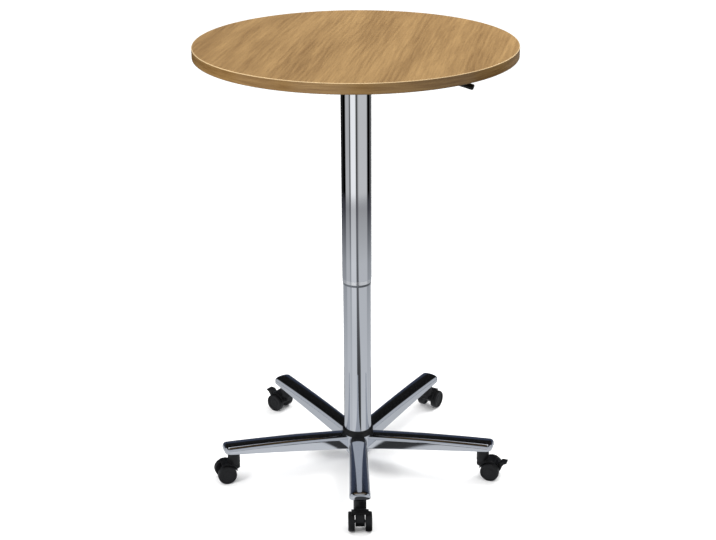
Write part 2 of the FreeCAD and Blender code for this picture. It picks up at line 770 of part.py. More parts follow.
def make_lower_tube():
    tube = new_piece("lower_tube")
    turned(tube, tube_corners("lower_tube_inner", "lower_tube_radius", "hub_floor_top", "lower_tube_top"))

    guide = new_piece("upper_guide")
    turned(
        guide,
        [
            ("guide_inner", "lower_tube_top - upper_guide_length"),
            ("guide_outer", "lower_tube_top - upper_guide_length"),
            ("guide_outer", "lower_tube_top + guide_cap"),
            ("lower_tube_inner", "lower_tube_top + guide_cap"),
            ("lower_tube_inner", "lower_tube_top"),
            ("guide_inner", "lower_tube_top"),
        ],
    )

    plate = new_piece("foot_plate")
    disc = tube_corners("rod_bore", "lower_tube_inner - slip_fit", "hub_floor_top", "foot_plate_top")
    turned(plate, disc)
    thread = ("foot_screw_ring", "0", "foot_screw_radius + slip_fit")
    hole = drill(plate, "hub_floor_top + foot_screw_depth + slip_fit", "foot_plate_thickness", thread)
    ring_of(plate, [hole], "foot_screw_count")

    upright_screws(
        "foot_screws",
        "foot_screw_ring",
        "foot_screw_count",
        "hub_floor_bottom",
        True,
        ("foot_screw_head_radius", "foot_screw_head_height"),
        ("foot_screw_radius", "hub_floor_thickness + foot_screw_depth"),
    )

    collar = new_piece("base_collar")
    reach = "guide_inner + collar_width"
    turned(collar, tube_corners("guide_inner", reach, "hub_top", "hub_top + collar_height"))
    round_rims(collar, "collar_rounding", (reach, "hub_top + collar_height"))


# ---- the release lever ----

def make_lever():
    arm = new_piece("lever_arm")
    low = "lever_height - lever_bar_height / 2"
    high = "lever_height + lever_bar_height / 2"
    bar_corners = [
        ("-lever_bar_height / 2", low, "lever_nose"),
        ("lever_bar_end", low),
        ("lever_bar_end", high),
        ("-lever_bar_height / 2", high, "lever_nose"),
    ]
    add_feature(arm, "Pad", outline(new_sketch(arm), bar_corners), "lever_bar_width", both_ways=True)
    eye = circles(new_sketch(arm), ("lever_pivot", "lever_height", "lever_pin_radius + slip_fit"))
    add_feature(arm, "Pocket", eye, both_ways=True)
    start = "lever_bar_end - lever_rod_radius / 2"
    fall = "(lever_rod_reach - lever_bend) * tan(lever_slope)"
    path = outline(
        new_sketch(arm),
        [
            (start, "lever_height"),
            ("lever_bend", "lever_height", "lever_bend_radius"),
            ("lever_rod_reach", f"lever_height - {fall}"),
        ],
        closed=False,
    )
    section = circles(new_sketch(arm, "YZ_Plane", start), ("0", "lever_height", "lever_rod_radius"))
    rod = add_feature(arm, "AdditivePipe", section)
    rod.Spine = (path, ["Edge1", "Edge2", "Edge3"])
    rod.Transition = "Right corner"
    place(arm, turn="lever_heading")

    pin = new_piece("lever_pin")
    add_feature(
        pin,
        "Pad",
        circles(new_sketch(pin), ("lever_pivot", "lever_height", "lever_pin_radius")),
        "lever_pin_length",
        both_ways=True,
    )
    place(pin, turn="lever_heading")


def make_lever_handle():
    """The handle in its own frame: X runs down the rod, and the origin is where the handle begins."""
    handle = new_piece("lever_handle")
    stations = []
    for share in ("0", "0.5", "1"):
        half_width = f"(handle_neck_width + (handle_width - handle_neck_width) * {share}) / 2"
        half_height = f"(handle_neck_height + (handle_height - handle_neck_height) * {share}) / 2"
        sketch = new_sketch(handle, "YZ_Plane", f"handle_length * {share}")
        corners = [
            (f"{side} * {half_width}", f"{level} * {half_height}", "handle_rounding")
            for side, level in ((-1, -1), (1, -1), (1, 1), (-1, 1))
        ]
        stations.append(outline(sketch, corners))
    loft = add_feature(handle, "AdditiveLoft", stations[0])
    loft.Sections = stations[1:]
    bore = circles(new_sketch(handle, "YZ_Plane", "handle_bore"), ("0", "0", "lever_rod_radius + slip_fit"))
    add_feature(handle, "Pocket", bore, "handle_length")
    away = "handle_start - lever_bend"
    place(
        handle,
        "handle_start * cos(lever_heading)",
        "handle_start * sin(lever_heading)",
        f"lever_height - ({away}) * tan(lever_slope)",
        "lever_heading",
        "lever_slope",
    )


PLACES["handle_bore"] = "handle_cover / cos(lever_slope) + slip_fit"


# ---- the five-star base ----

def arm_section(body, reach):
    """The arm's solid outline across, at a distance from the column's axis."""
    half = f"({arm_width(reach)}) / 2"
    top = arm_top(reach)
    under = arm_under(reach)
    corners = [
        (f"-{half}", under, "arm_lower_rounding"),
        (half, under, "arm_lower_rounding"),
        (half, top, "arm_upper_rounding"),
        ("0", f"{top} + arm_crown", "arm_crown_radius"),
        (f"-{half}", top, "arm_upper_rounding"),
    ]
    return outline(new_sketch(body, "YZ_Plane", reach), corners)


def channel_section(body, reach):
    """The outline across of the open channel under the arm."""
    half = f"(({arm_width(reach)}) / 2 - arm_wall)"
    top = f"{arm_top(reach)} - arm_wall"
    under = f"{arm_under(reach)} - arm_wall"
    corners = [(f"-{half}", under), (half, under), (half, top), (f"-{half}", top)]
    return outline(new_sketch(body, "YZ_Plane", reach), corners)


def lofted(body, kind, stations):
    loft = add_feature(body, kind, stations[0])
    loft.Sections = stations[1:]
    return loft


def tip_cut(body):
    """Trim the arm's square end to its rounded one."""
    half = "(arm_tip_width / 2 + arm_tip_clear)"
    far = "arm_length + arm_tip_rounding"
    wide = "arm_tip_width"
    back = "arm_length - 2 * arm_tip_rounding"
    shoulder = "arm_length - arm_tip_bulge"
    corners = [
        (back, f"-{wide}"),
        (far, f"-{wide}"),
        (far, wide),
        (back, wide),
        (back, half),
        (shoulder, half, "arm_tip_rounding"),
        ("arm_length", "0", "arm_tip_bulge_radius"),
        (shoulder, f"-{half}", "arm_tip_rounding"),
        (back, f"-{half}"),
    ]
    return add_feature(body, "Pocket", outline(new_sketch(body, "XY_Plane"), corners), both_ways=True)


def make_base():
    base = new_piece("five_star_base")
    turned(
        base,
        [
            ("0", "hub_skirt_bottom"),
            ("hub_skirt_foot", "hub_skirt_bottom"),
            ("hub_skirt_radius", "hub_skirt_top"),
            ("hub_radius", "hub_skirt_top"),
            ("hub_radius", "hub_top - hub_rim"),
            ("hub_radius - hub_rim", "hub_top"),
            ("0", "hub_top"),
        ],
    )
    middle = "(arm_root + arm_length) / 2"
    stations = [arm_section(base, reach) for reach in ("arm_root", middle, "arm_length")]
    arm = lofted(base, "AdditiveLoft", stations)
    tip = tip_cut(base)
    middle = "(arm_channel_start + arm_channel_end) / 2"
    stations = [channel_section(base, reach) for reach in ("arm_channel_start", middle, "arm_channel_end")]
    channel = lofted(base, "SubtractiveLoft", stations)
    socket = drill(
        base,
        "socket_foot + socket_length + slip_fit",
        "socket_length + socket_drop",
        ("stem_reach", "0", "socket_radius + slip_fit"),
    )
    ring_of(base, [arm, tip, channel, socket], "arm_count")
    turned(
        base,
        [
            ("0", "0"),
            ("hub_recess_radius", "0"),
            ("hub_recess_radius", "hub_floor_bottom"),
            ("hub_centre_radius", "hub_floor_bottom"),
            ("hub_centre_radius", "hub_floor_top"),
            ("lower_tube_radius + slip_fit", "hub_floor_top"),
            ("lower_tube_radius + slip_fit", "hub_top"),
            ("hub_radius", "hub_top"),
            ("hub_radius", "arm_tip_top"),
            ("0", "arm_tip_top"),
        ],
        "Groove",
    )
    screw = ("foot_screw_ring * cos(90)", "foot_screw_ring * sin(90)", "foot_screw_radius + screw_fit")
    ring_of(base, [drill(base, "hub_floor_top", "hub_floor_thickness", screw)], "foot_screw_count")
    place(base, turn="-90")

    sockets = new_piece("castor_sockets")
    rings = circles(
        new_sketch(sockets, "XY_Plane", "socket_foot"),
        ("stem_reach", "0", "socket_radius"),
        ("stem_reach", "0", "stem_radius + slip_fit"),
    )
    ring_of(sockets, [add_feature(sockets, "Pad", rings, "socket_length")], "arm_count")
    place(sockets, turn="-90")


# ---- the castors ----

def stand_on_stem(body, number, out="0", side="0", up="0"):
    """Place a castor's piece, given in the castor's frame: X trails away from the stem."""
    heading = f"castor_{number}_heading"
    arm = f"(arm_step * {number - 1} - 90)"
    place(
        body,
        f"stem_reach * cos({arm}) + {out} * cos({heading}) - {side} * sin({heading})",
        f"stem_reach * sin({arm}) + {out} * sin({heading}) + {side} * cos({heading})",
        up,
        heading,
    )


def band_between(sketch, inner, outer, first, last):
    """A closed band round the axle between two radii and two directions."""
    centre = FreeCAD.Vector(value("castor_trail"), value("wheel_radius"), 0)
    rings = [Part.Circle(centre, FreeCAD.Vector(0, 0, 1), value(radius)) for radius in (inner, outer)]
    spans = [math.radians(value(direction)) for direction in (first, last)]
    arcs = [sketch.addGeometry(Part.ArcOfCircle(ring, *spans)) for ring in rings]
    for arc, radius in zip(arcs, (inner, outer)):
        hold_point(sketch, arc, 3, "castor_trail", "wheel_radius")
        hold(sketch, "Radius", arc, radius)
    for end, (span, direction) in enumerate(zip(spans, (first, last)), start=1):
        line = sketch.addGeometry(Part.LineSegment(rings[0].value(span), rings[1].value(span)))
        sketch.addConstraint(Sketcher.Constraint("Coincident", arcs[0], end, line, 1))
        sketch.addConstraint(Sketcher.Constraint("Coincident", arcs[1], end, line, 2))
        sketch.addConstraint(Sketcher.Constraint("PointOnObject", arcs[0], 3, line))
        number = sketch.addConstraint(Sketcher.Constraint("Angle", line, span))
        sketch.setExpression(f"Constraints[{number}]", bound(direction))
    return sketch


def make_castor_stem(number):
    stem = new_piece(f"castor_{number}_stem")
    turned(
        stem,
        [
            ("0", "stem_foot"),
            ("stem_radius", "stem_foot"),
            ("stem_radius", "collar_foot"),
            ("stem_collar_radius", "collar_foot"),
            ("stem_collar_radius", "socket_foot"),
            ("stem_radius", "socket_foot"),
            ("stem_radius", "socket_foot + stem_grip"),
            ("0", "socket_foot + stem_grip"),
        ],
    )
    stand_on_stem(stem, number)


def make_castor_housing(number):
    housing = new_piece(f"castor_{number}_housing")
    web = [
        ("-web_back", "neck_foot + hood_thickness"),
        ("-web_back", "web_back_height"),
        ("castor_trail", "wheel_radius - web_hub_radius"),
        ("castor_trail + web_hub_radius", "wheel_radius"),
        ("castor_trail", "wheel_radius + hood_middle"),
    ]
    if number in BRAKED:
        web.insert(4, ("pedal_pivot_x", "pedal_pivot_z"))
    add_feature(housing, "Pad", outline(new_sketch(housing), web), "web_width", both_ways=True)
    hub = circles(new_sketch(housing), ("castor_trail", "wheel_radius", "web_hub_radius"))
    add_feature(housing, "Pad", hub, "web_width", both_ways=True)
    hood = band_between(new_sketch(housing), "hood_inner", "hood_outer", "hood_front", "hood_back")
    add_feature(housing, "Pad", hood, "hood_width", both_ways=True)
    neck = circles(new_sketch(housing, "XY_Plane", "neck_foot"), ("0", "0", "neck_radius"))
    add_feature(housing, "Pad", neck, "neck_top - neck_foot")
    round_rims(housing, "neck_rounding", ("neck_radius", "neck_top"))
    drill(housing, "neck_top", "stem_pin", ("0", "0", "stem_radius + slip_fit"))
    axle = circles(new_sketch(housing), ("castor_trail", "wheel_radius", "axle_bore"))
    add_feature(housing, "Pocket", axle, both_ways=True)
    if number in BRAKED:
        cut_pedal_seat(housing)
    stand_on_stem(housing, number)


def cut_pedal_seat(housing):
    """Two ears round the pedal's pivot, with a slot between them and a hole through them."""
    pivot = ("pedal_pivot_x", "pedal_pivot_z")
    ears = circles(new_sketch(housing), (*pivot, "pedal_ear_radius"))
    add_feature(housing, "Pad", ears, "web_width", both_ways=True)
    room = "(pedal_eye_radius + 2 * pedal_side_play)"
    corners = [
        (f"pedal_pivot_x - {room}", "pedal_pivot_z - pedal_heel_drop"),
        ("pedal_pivot_x + pedal_heel_out", "pedal_pivot_z - pedal_heel_drop"),
        ("pedal_pivot_x + pedal_heel_out", f"pedal_pivot_z + {room}"),
        (f"pedal_pivot_x - {room}", f"pedal_pivot_z + {room}"),
    ]
    slot = outline(new_sketch(housing), corners)
    add_feature(housing, "Pocket", slot, "pedal_slot_width", both_ways=True)
    hole = circles(new_sketch(housing), (*pivot, "pedal_pin_radius + slip_fit"))
    add_feature(housing, "Pocket", hole, "web_width + 2 * slip_fit", both_ways=True)


def make_castor_axle(number):
    axle = new_piece(f"castor_{number}_axle")
    section = circles(new_sketch(axle), ("0", "0", "axle_radius"))
    add_feature(axle, "Pad", section, "axle_length", both_ways=True)
    stand_on_stem(axle, number, "castor_trail", "0", "wheel_radius")


def make_castor_wheel(number, name, side):
    """A dished wheel about its own Y axis; side is 1 on the castor's +Y side and -1 on the other."""
    wheel = new_piece(f"castor_{number}_{name}")
    rim = "wheel_radius - wheel_rim"
    inner, outer = "wheel_inner_face", "wheel_outer_face"
    corners = [
        ("axle_bore", inner),
        ("wheel_hub_radius", inner),
        ("wheel_hub_radius", f"{inner} + wheel_dish"),
        (rim, f"{inner} + wheel_dish"),
        (rim, inner),
        ("wheel_radius", inner, "wheel_rounding"),
        ("wheel_radius", outer, "wheel_rounding"),
        (rim, outer),
        ("wheel_hub_radius", f"{outer} - wheel_dish"),
        ("wheel_hub_radius", f"{outer} - wheel_hub_sink"),
        ("0", f"{outer} - wheel_hub_sink"),
        ("0", "wheel_bore_end"),
        ("axle_bore", "wheel_bore_end"),
    ]
    sided = [(corner[0], f"{side} * ({corner[1]})", *corner[2:]) for corner in corners]
    turned(wheel, sided, role="XY_Plane")
    stand_on_stem(wheel, number, "castor_trail", "0", "wheel_radius")


def make_brake_pedal(number):
    """The pedal about its pivot: an eye and tongue between the ears, and a wider treadle outside."""
    pedal = new_piece(f"castor_{number}_brake_pedal")
    eye = circles(new_sketch(pedal), ("0", "0", "pedal_eye_radius"))
    add_feature(pedal, "Pad", eye, "pedal_tongue_width", both_ways=True)
    tongue = [
        ("0", "-pedal_eye_radius"),
        ("pedal_sole_out", "-pedal_sole_drop"),
        ("pedal_sole_out", "pedal_eye_radius"),
        ("0", "pedal_eye_radius"),
    ]
    add_feature(pedal, "Pad", outline(new_sketch(pedal), tongue), "pedal_tongue_width", both_ways=True)
    treadle = [
        ("pedal_heel_out", "-pedal_heel_drop"),
        ("pedal_sole_out", "-pedal_sole_drop"),
        ("pedal_toe_out", "pedal_toe_rise"),
        ("pedal_tip_out", "pedal_tip_rise"),
        ("pedal_tip_out", "pedal_tip_rise + pedal_tip_thickness"),
        ("pedal_sole_out", "pedal_tip_rise + pedal_tip_thickness"),
        ("pedal_heel_out", "pedal_eye_radius"),
    ]
    add_feature(pedal, "Pad", outline(new_sketch(pedal), treadle), "pedal_width", both_ways=True)
    pin = circles(new_sketch(pedal), ("0", "0", "pedal_pin_radius"))
    add_feature(pedal, "Pad", pin, "web_width", both_ways=True)
    stand_on_stem(pedal, number, "pedal_pivot_x", "0", "pedal_pivot_z")


def make_castor(number):
    make_castor_stem(number)
    make_castor_housing(number)
    make_castor_axle(number)
    make_castor_wheel(number, "wheel_left", 1)
    make_castor_wheel(number, "wheel_right", -1)
    if number in BRAKED:
        make_brake_pedal(number)


# ---- build, check and write ----

def check_and_write():
    doc.recompute()
    failed = [item.Name for item in doc.Objects if {"Invalid", "Error"} & set(item.State)]
    if failed:
        raise RuntimeError(f"did not build: {', '.join(failed)}")
    os.makedirs("parts", exist_ok=True)
    for piece in pieces:
        shape = piece.Shape
        if shape.isNull() or not shape.isValid() or not shape.Solids:
            raise RuntimeError(f"{piece.Label} has no valid solid")
        shape.exportStep(f"parts/{piece.Label}.step")
        print(f"{piece.Label}: {len(shape.Solids)} solid(s), {shape.Volume / 1000:.2f} cm3")


make_board()
make_mounting_plate()
make_head_screws()
make_head_casting()
make_tube_screws()
make_gas_spring()
make_thrust_bearing()
make_upper_tube()
make_lower_tube()
make_lever()
make_lever_handle()
make_base()
for castor in range(1, int(value("arm_count")) + 1):
    make_castor(castor)
check_and_write()
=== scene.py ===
"""The looks of a standing meeting table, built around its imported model.

It is laid out as a Blender add-on and run as a script. Everything is in metres, in the model's own frame:
the origin is on the floor under the column, +Z is up and the first arm points along -Y.
"""

import json
import math
from contextlib import contextmanager

import bmesh
import bpy
from bpy.props import FloatProperty, FloatVectorProperty, PointerProperty
from mathutils import Matrix, Vector


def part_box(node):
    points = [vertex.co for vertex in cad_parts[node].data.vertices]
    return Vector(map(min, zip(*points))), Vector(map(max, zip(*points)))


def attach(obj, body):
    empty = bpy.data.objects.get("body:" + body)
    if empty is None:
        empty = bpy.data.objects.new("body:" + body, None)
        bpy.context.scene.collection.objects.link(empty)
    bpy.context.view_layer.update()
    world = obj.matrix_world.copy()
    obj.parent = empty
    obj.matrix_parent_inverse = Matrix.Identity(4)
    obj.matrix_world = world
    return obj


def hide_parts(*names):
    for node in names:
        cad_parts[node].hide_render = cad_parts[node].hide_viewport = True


bl_info = {
    "name": "Standing meeting table",
    "version": (1, 0, 0),
    "blender": (4, 5, 0),
    "location": "View3D > Sidebar > Table",
    "description": "Builds the looks of a height-adjustable standing table around its packed model",
    "category": "Object",
}

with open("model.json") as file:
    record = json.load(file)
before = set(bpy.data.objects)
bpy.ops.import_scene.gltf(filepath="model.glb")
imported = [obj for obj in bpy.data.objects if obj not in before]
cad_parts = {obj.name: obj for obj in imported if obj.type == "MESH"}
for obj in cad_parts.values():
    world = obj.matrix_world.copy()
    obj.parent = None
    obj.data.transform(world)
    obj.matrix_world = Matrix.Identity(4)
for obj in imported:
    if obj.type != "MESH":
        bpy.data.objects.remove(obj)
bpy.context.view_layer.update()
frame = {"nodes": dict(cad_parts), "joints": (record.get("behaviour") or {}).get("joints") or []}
JOINTS = {joint["name"]: joint for joint in frame["joints"]}

MM = 0.001
ROUND = 128
ARM_COUNT = 5
CASTORS = range(1, ARM_COUNT + 1)
BRAKED = (2, 4)
Z_AXIS = Vector((0, 0, 1))


def rgb(*levels):
    """A colour as a screen shows it, 0 to 255, in the linear numbers that shaders use."""
    return tuple(((level / 255 + 0.055) / 1.055) ** 2.4 for level in levels)


# ---- settings that a user would change ----

def length(name, description, default):
    return FloatProperty(
        name=name, description=description, default=default, min=0, unit="LENGTH", precision=4
    )


def share(name, description, default):
    return FloatProperty(name=name, description=description, default=default, min=0, max=1, subtype="FACTOR")


def colour(name, description, default):
    return FloatVectorProperty(
        name=name, description=description, default=default, min=0, max=1, subtype="COLOR"
    )


class BoardSettings(bpy.types.PropertyGroup):
    wood_light: colour("Light wood", "Colour of the laminate's lighter bands", rgb(172, 138, 89))
    wood_dark: colour("Dark wood", "Colour of the laminate's darker bands", rgb(122, 91, 52))
    # Painted highlight: the lighter colour laid along the edge band's upper rim.
    rim: colour("Rim", "Colour of the edge band's highlighted upper rim", rgb(222, 194, 150))
    grain_turn: FloatProperty(
        name="Grain direction",
        description="Turn of the grain away from the board's depth",
        default=math.radians(11),
        subtype="ANGLE",
    )
    rim_rounding: length("Rim rounding", "Radius of the edge band's two rims", 1.8 * MM)


class MetalSettings(bpy.types.PropertyGroup):
    chrome: colour("Chrome", "Tint of the chromed tubes", (0.80, 0.82, 0.86))
    chrome_roughness: share("Chrome roughness", "Blur of the reflections in the tubes", 0.035)
    star: colour("Star base", "Tint of the polished star base", (0.78, 0.80, 0.84))
    star_roughness: share("Star base roughness", "Blur of the reflections in the star base", 0.08)


class PlasticSettings(bpy.types.PropertyGroup):
    black: colour("Plastic", "Colour of the moulded black parts", (0.0035, 0.0035, 0.0038))
    black_roughness: share("Plastic roughness", "Blur of the shine on the moulded black parts", 0.42)
    tread: colour("Tread", "Colour of the castors' treads", (0.0045, 0.0045, 0.0050))


class StageSettings(bpy.types.PropertyGroup):
    floor: colour("Floor", "Colour of the floor", (0.94, 0.94, 0.94))
    key_power: FloatProperty(name="Key light", description="Strength of the large light", default=50, min=0)
    fill_power: FloatProperty(name="Fill light", description="Strength of the second light", default=55, min=0)


GROUPS = {
    "table_board": BoardSettings,
    "table_metal": MetalSettings,
    "table_plastic": PlasticSettings,
    "table_stage": StageSettings,
}


def settings(name):
    return getattr(bpy.context.scene, name)


# ---- shader sums ----

class Number:
    """A shader socket that adds its own Math nodes when it is used in a sum."""

    def __init__(self, finish, socket):
        self.finish = finish
        self.socket = socket

    def math(self, operation, *values):
        return self.finish.add("ShaderNodeMath", {"operation": operation}, dict(enumerate(values)))

    def __add__(self, other):
        return self.math("ADD", self, other)

    def __mul__(self, other):
        return self.math("MULTIPLY", self, other)

    def __sub__(self, other):
        return self.math("SUBTRACT", self, other)

    def __rsub__(self, other):
        return self.math("SUBTRACT", other, self)

    def __truediv__(self, other):
        return self.math("DIVIDE", self, other)

    __radd__ = __add__
    __rmul__ = __mul__


class Finish:
    """A material, or the world, while its nodes are being put together."""

    def __init__(self, name, constants=(), owner=None):
        self.owner = owner or bpy.data.materials.new(name)
        self.owner.use_nodes = True
        self.tree = self.owner.node_tree
        self.shader = self.tree.nodes.get("Principled BSDF")
        self.feed(self.shader, dict(constants))

    def feed(self, node, values):
        for key, given in values.items():
            socket = node.inputs[key]
            if isinstance(given, Number):
                self.tree.links.new(given.socket, socket)
            elif socket.type == "RGBA" and len(given) == 3:
                socket.default_value = (*given, 1)
            else:
                socket.default_value = given

    def add(self, kind, choices=(), values=(), out=0):
        """A node with its choices set first, then its sockets; a ramp's stops are among its choices."""
        node = self.tree.nodes.new(kind)
        for name, choice in dict(choices).items():
            if name == "stops":
                self.set_stops(node.color_ramp, choice)
            else:
                setattr(node, name, choice)
        self.feed(node, dict(values))
        return Number(self, node.outputs[out])

    def set_stops(self, ramp, stops):
        while len(ramp.elements) < len(stops):
            ramp.elements.new(1)
        for element, (place, tint) in zip(ramp.elements, stops):
            element.position = place
            element.color = (*tint, 1)

    def finish_with(self, shader):
        self.tree.links.new(shader.socket, self.tree.nodes["Material Output"].inputs["Surface"])

    def set(self, **values):
        self.feed(self.shader, {name.replace("_", " "): given for name, given in values.items()})

    def place(self, turn=0):
        """The piece's own X, Y and Z, turned about Z."""
        spot = self.add("ShaderNodeTexCoord", out="Object")
        turned_spot = self.add("ShaderNodeMapping", {}, {"Vector": spot, "Rotation": (0, 0, turn)})
        return [self.add("ShaderNodeSeparateXYZ", {}, {0: turned_spot}, axis) for axis in range(3)]

    def point(self, x, y, z):
        return self.add("ShaderNodeCombineXYZ", {}, {0: x, 1: y, 2: z})

    def noise(self, where, scale=1.0, detail=3.0, roughness=0.5):
        values = {"Vector": where, "Scale": scale, "Detail": detail, "Roughness": roughness}
        return self.add("ShaderNodeTexNoise", {}, values)

    def spread(self, number, low, high, to_low=0.0, to_high=1.0):
        """A number eased from one range to another, and held at its ends."""
        values = {0: number, 1: low, 2: high, 3: to_low, 4: to_high}
        return self.add("ShaderNodeMapRange", {"interpolation_type": "SMOOTHSTEP"}, values)

    def tint(self, number, stops):
        return self.add("ShaderNodeValToRGB", {"stops": stops}, {0: number})

    def mix(self, amount, first, second):
        return self.add("ShaderNodeMix", {"data_type": "RGBA"}, {0: amount, 6: first, 7: second}, 2)

    def raise_surface(self, height, strength, distance):
        bump = self.add("ShaderNodeBump", {}, {"Height": height, "Strength": strength, "Distance": distance})
        self.set(Normal=bump)


def wood_laminate(name, turn, around=False):
    """Printed wood-grain laminate; around makes the grain run level along the edge band, tones it darker as
    painted shade and paints a highlight along its upper rim.
    """
    board = settings("table_board")
    finish = Finish(name, {"IOR": 1.47})
    x, y, z = finish.place(turn)
    if around:
        coarse = finish.point(x * 6, y * 6, z * 90)
        fine = finish.point(x * 22, y * 22, z * 1100)
        pores = finish.point(x * 60, y * 60, z * 2600)
    else:
        sway = finish.noise(finish.point(x * 2.2, y * 1.1, z), 1.0, 2.0)
        across, along = x + (sway - 0.5) * 0.03, y
        coarse = finish.point(across * 15, along * 1.3, 0)
        fine = finish.point(across * 150, along * 6, 0)
        pores = finish.point(across * 900, along * 34, 0)
    bands = finish.noise(coarse, 1.0, 2.0, 0.45)
    streaks = finish.noise(fine, 1.0, 4.0, 0.6)
    fibres = finish.noise(pores, 1.0, 2.0, 0.6)
    tone = finish.spread(bands, 0.30, 0.70) * 0.36 + finish.spread(streaks, 0.25, 0.75) * 0.48 + fibres * 0.3
    # The edge band's tone is set well below the face's: painted shade on its upright face.
    tone = tone - (0.25 if around else 0.045)
    shade = finish.tint(tone, [(0.05, tuple(board.wood_dark)), (0.95, tuple(board.wood_light))])
    if around:
        # Painted highlight: the upper rim's rounding is mixed towards the rim colour, standing in for the light
        # the rim catches.
        lowest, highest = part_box("edge_band")
        rounding = board.rim_rounding
        rim = finish.spread(z, highest.z - rounding, highest.z - 0.4 * rounding)
        shade = finish.mix(rim * 0.8, shade, tuple(board.rim))
    pore = finish.spread(fibres, 0.30, 0.42, 1.0, 0.0) * 0.28
    dark = [part * 0.45 for part in board.wood_dark]
    finish.set(
        Base_Color=finish.mix(pore, shade, dark),
        Roughness=(0.22 if around else 0.36) + pore * 0.4 + (streaks - 0.5) * 0.10,
    )
    finish.raise_surface(streaks * 0.6 - pore, 0.10, 0.1 * MM)
    return finish.owner


def chipboard(name):
    finish = Finish(name, {"Roughness": 0.85})
    x, y, z = finish.place()
    chips = finish.add("ShaderNodeTexVoronoi", {}, {"Vector": finish.point(x, y, z * 2), "Scale": 420.0})
    finish.set(Base_Color=finish.tint(chips, [(0.1, rgb(150, 118, 82)), (0.9, rgb(196, 165, 125))]))
    finish.raise_surface(chips, 0.4, 0.3 * MM)
    return finish.owner


def bright_metal(name, tint, roughness, ripple):
    """Mirror-bright plating: faint polishing marks in its gloss and a slight ripple in its surface."""
    finish = Finish(name, {"Metallic": 1.0})
    x, y, z = finish.place()
    cloud = finish.noise(finish.point(x, y, z), 9.0, 3.0)
    marks = finish.noise(finish.point(x * 400, y * 400, z * 40), 1.0, 2.0)
    wave = finish.noise(finish.point(x, y, z), 24.0, 1.0)
    pale = [part * 0.93 for part in tint]
    finish.set(
        Base_Color=finish.mix(cloud, tuple(tint), pale),
        Roughness=roughness + (cloud - 0.5) * roughness * 0.5 + (marks - 0.5) * roughness * 0.3,
    )
    finish.raise_surface(wave, ripple, 0.05 * MM)
    return finish.owner


def dull_metal(name, tint, roughness, grain_size, metallic=1.0):
    """Plated, cast or painted metal with a fine grain."""
    finish = Finish(name, {"Metallic": metallic})
    x, y, z = finish.place()
    spot = finish.point(x, y, z)
    cloud = finish.noise(spot, 60.0, 3.0)
    grain = finish.noise(spot, 1 / grain_size, 2.0)
    dark = [part * 0.72 for part in tint]
    finish.set(
        Base_Color=finish.mix(finish.spread(cloud, 0.3, 0.7), dark, tuple(tint)),
        Roughness=roughness + (grain - 0.5) * 0.18,
    )
    finish.raise_surface(grain, 0.25, 0.15 * MM)
    return finish.owner


def moulded_plastic(name, tint, roughness, grain_size=0.7 * MM):
    """Moulded plastic or rubber: a spark-eroded grain, with gloss that varies as it is handled."""
    finish = Finish(name, {"IOR": 1.42})
    x, y, z = finish.place()
    spot = finish.point(x, y, z)
    grain = finish.add("ShaderNodeTexVoronoi", {}, {"Vector": spot, "Scale": 1 / grain_size})
    cloud = finish.noise(spot, 45.0, 3.0)
    pale = [part * 1.7 + 0.001 for part in tint]
    finish.set(
        Base_Color=finish.mix(finish.spread(cloud, 0.35, 0.75), tuple(tint), pale),
        Roughness=roughness + (cloud - 0.5) * 0.20,
    )
    finish.raise_surface(grain, 0.18, 0.06 * MM)
    return finish.owner


def make_finishes():
    metal = settings("table_metal")
    plastic = settings("table_plastic")
    turn = settings("table_board").grain_turn
    return {
        "wood_laminate": wood_laminate("wood_laminate", turn),
        "wood_edge": wood_laminate("wood_edge", 0, around=True),
        "backing_laminate": wood_laminate("backing_laminate", turn + math.pi / 2),
        "chipboard": chipboard("chipboard"),
        "chromed_steel": bright_metal("chromed_steel", metal.chrome, metal.chrome_roughness, 0.02),
        "satin_chrome": bright_metal("satin_chrome", (0.97, 0.98, 1.0), 0.16, 0.02),
        "polished_aluminium": bright_metal("polished_aluminium", metal.star, metal.star_roughness, 0.05),
        "cast_aluminium": dull_metal("cast_aluminium", rgb(168, 169, 171), 0.48, 1.2 * MM),
        "zinc_steel": dull_metal("zinc_steel", rgb(190, 193, 197), 0.34, 2.0 * MM),
        "black_painted_steel": dull_metal("black_painted_steel", rgb(15, 15, 16), 0.42, 0.8 * MM, 0.0),
        "grey_plastic": moulded_plastic("grey_plastic", rgb(96, 100, 106), 0.35),
        "black_plastic": moulded_plastic("black_plastic", plastic.black, plastic.black_roughness),
        "castor_plastic": moulded_plastic("castor_plastic", plastic.black, plastic.black_roughness - 0.06),
        "wheel_plastic": moulded_plastic("wheel_plastic", plastic.tread, plastic.black_roughness + 0.08),
        "black_rubber": moulded_plastic("black_rubber", plastic.tread, 0.62),
    }


FINISHES = {}


# ---- modelling ----

def alone(piece):
    """Make this the only selected object."""
    bpy.ops.object.select_all(action="DESELECT")
    piece.select_set(True)
    bpy.context.view_layer.objects.active = piece


@contextmanager
def shaping(piece):
    alone(piece)
    bpy.ops.object.mode_set(mode="EDIT")
    yield
    bpy.ops.object.mode_set(mode="OBJECT")


def pick(piece, wanted):
    """Select the corners that are where wanted says."""
    bpy.ops.mesh.select_all(action="DESELECT")
    bpy.ops.mesh.select_mode(type="VERT")
    shape = bmesh.from_edit_mesh(piece.data)
    for corner in shape.verts:
        corner.select_set(wanted(corner.co))
    shape.select_flush_mode()
    bmesh.update_edit_mesh(piece.data)


def bevel_edges(piece, wanted, radius, segments):
    """Round the edges whose two ends lie as wanted says."""
    bpy.ops.mesh.select_all(action="DESELECT")
    bpy.ops.mesh.select_mode(type="EDGE")
    shape = bmesh.from_edit_mesh(piece.data)
    for edge in shape.edges:
        edge.select_set(wanted(*[corner.co for corner in edge.verts]))
    bmesh.update_edit_mesh(piece.data)
    bpy.ops.mesh.bevel(offset=radius, segments=segments, affect="EDGES")


def near(first, second, reach=0.02 * MM):
    return abs(first - second) < reach


def started(name):
    piece = bpy.context.active_object
    piece.name = piece.data.name = name
    return piece


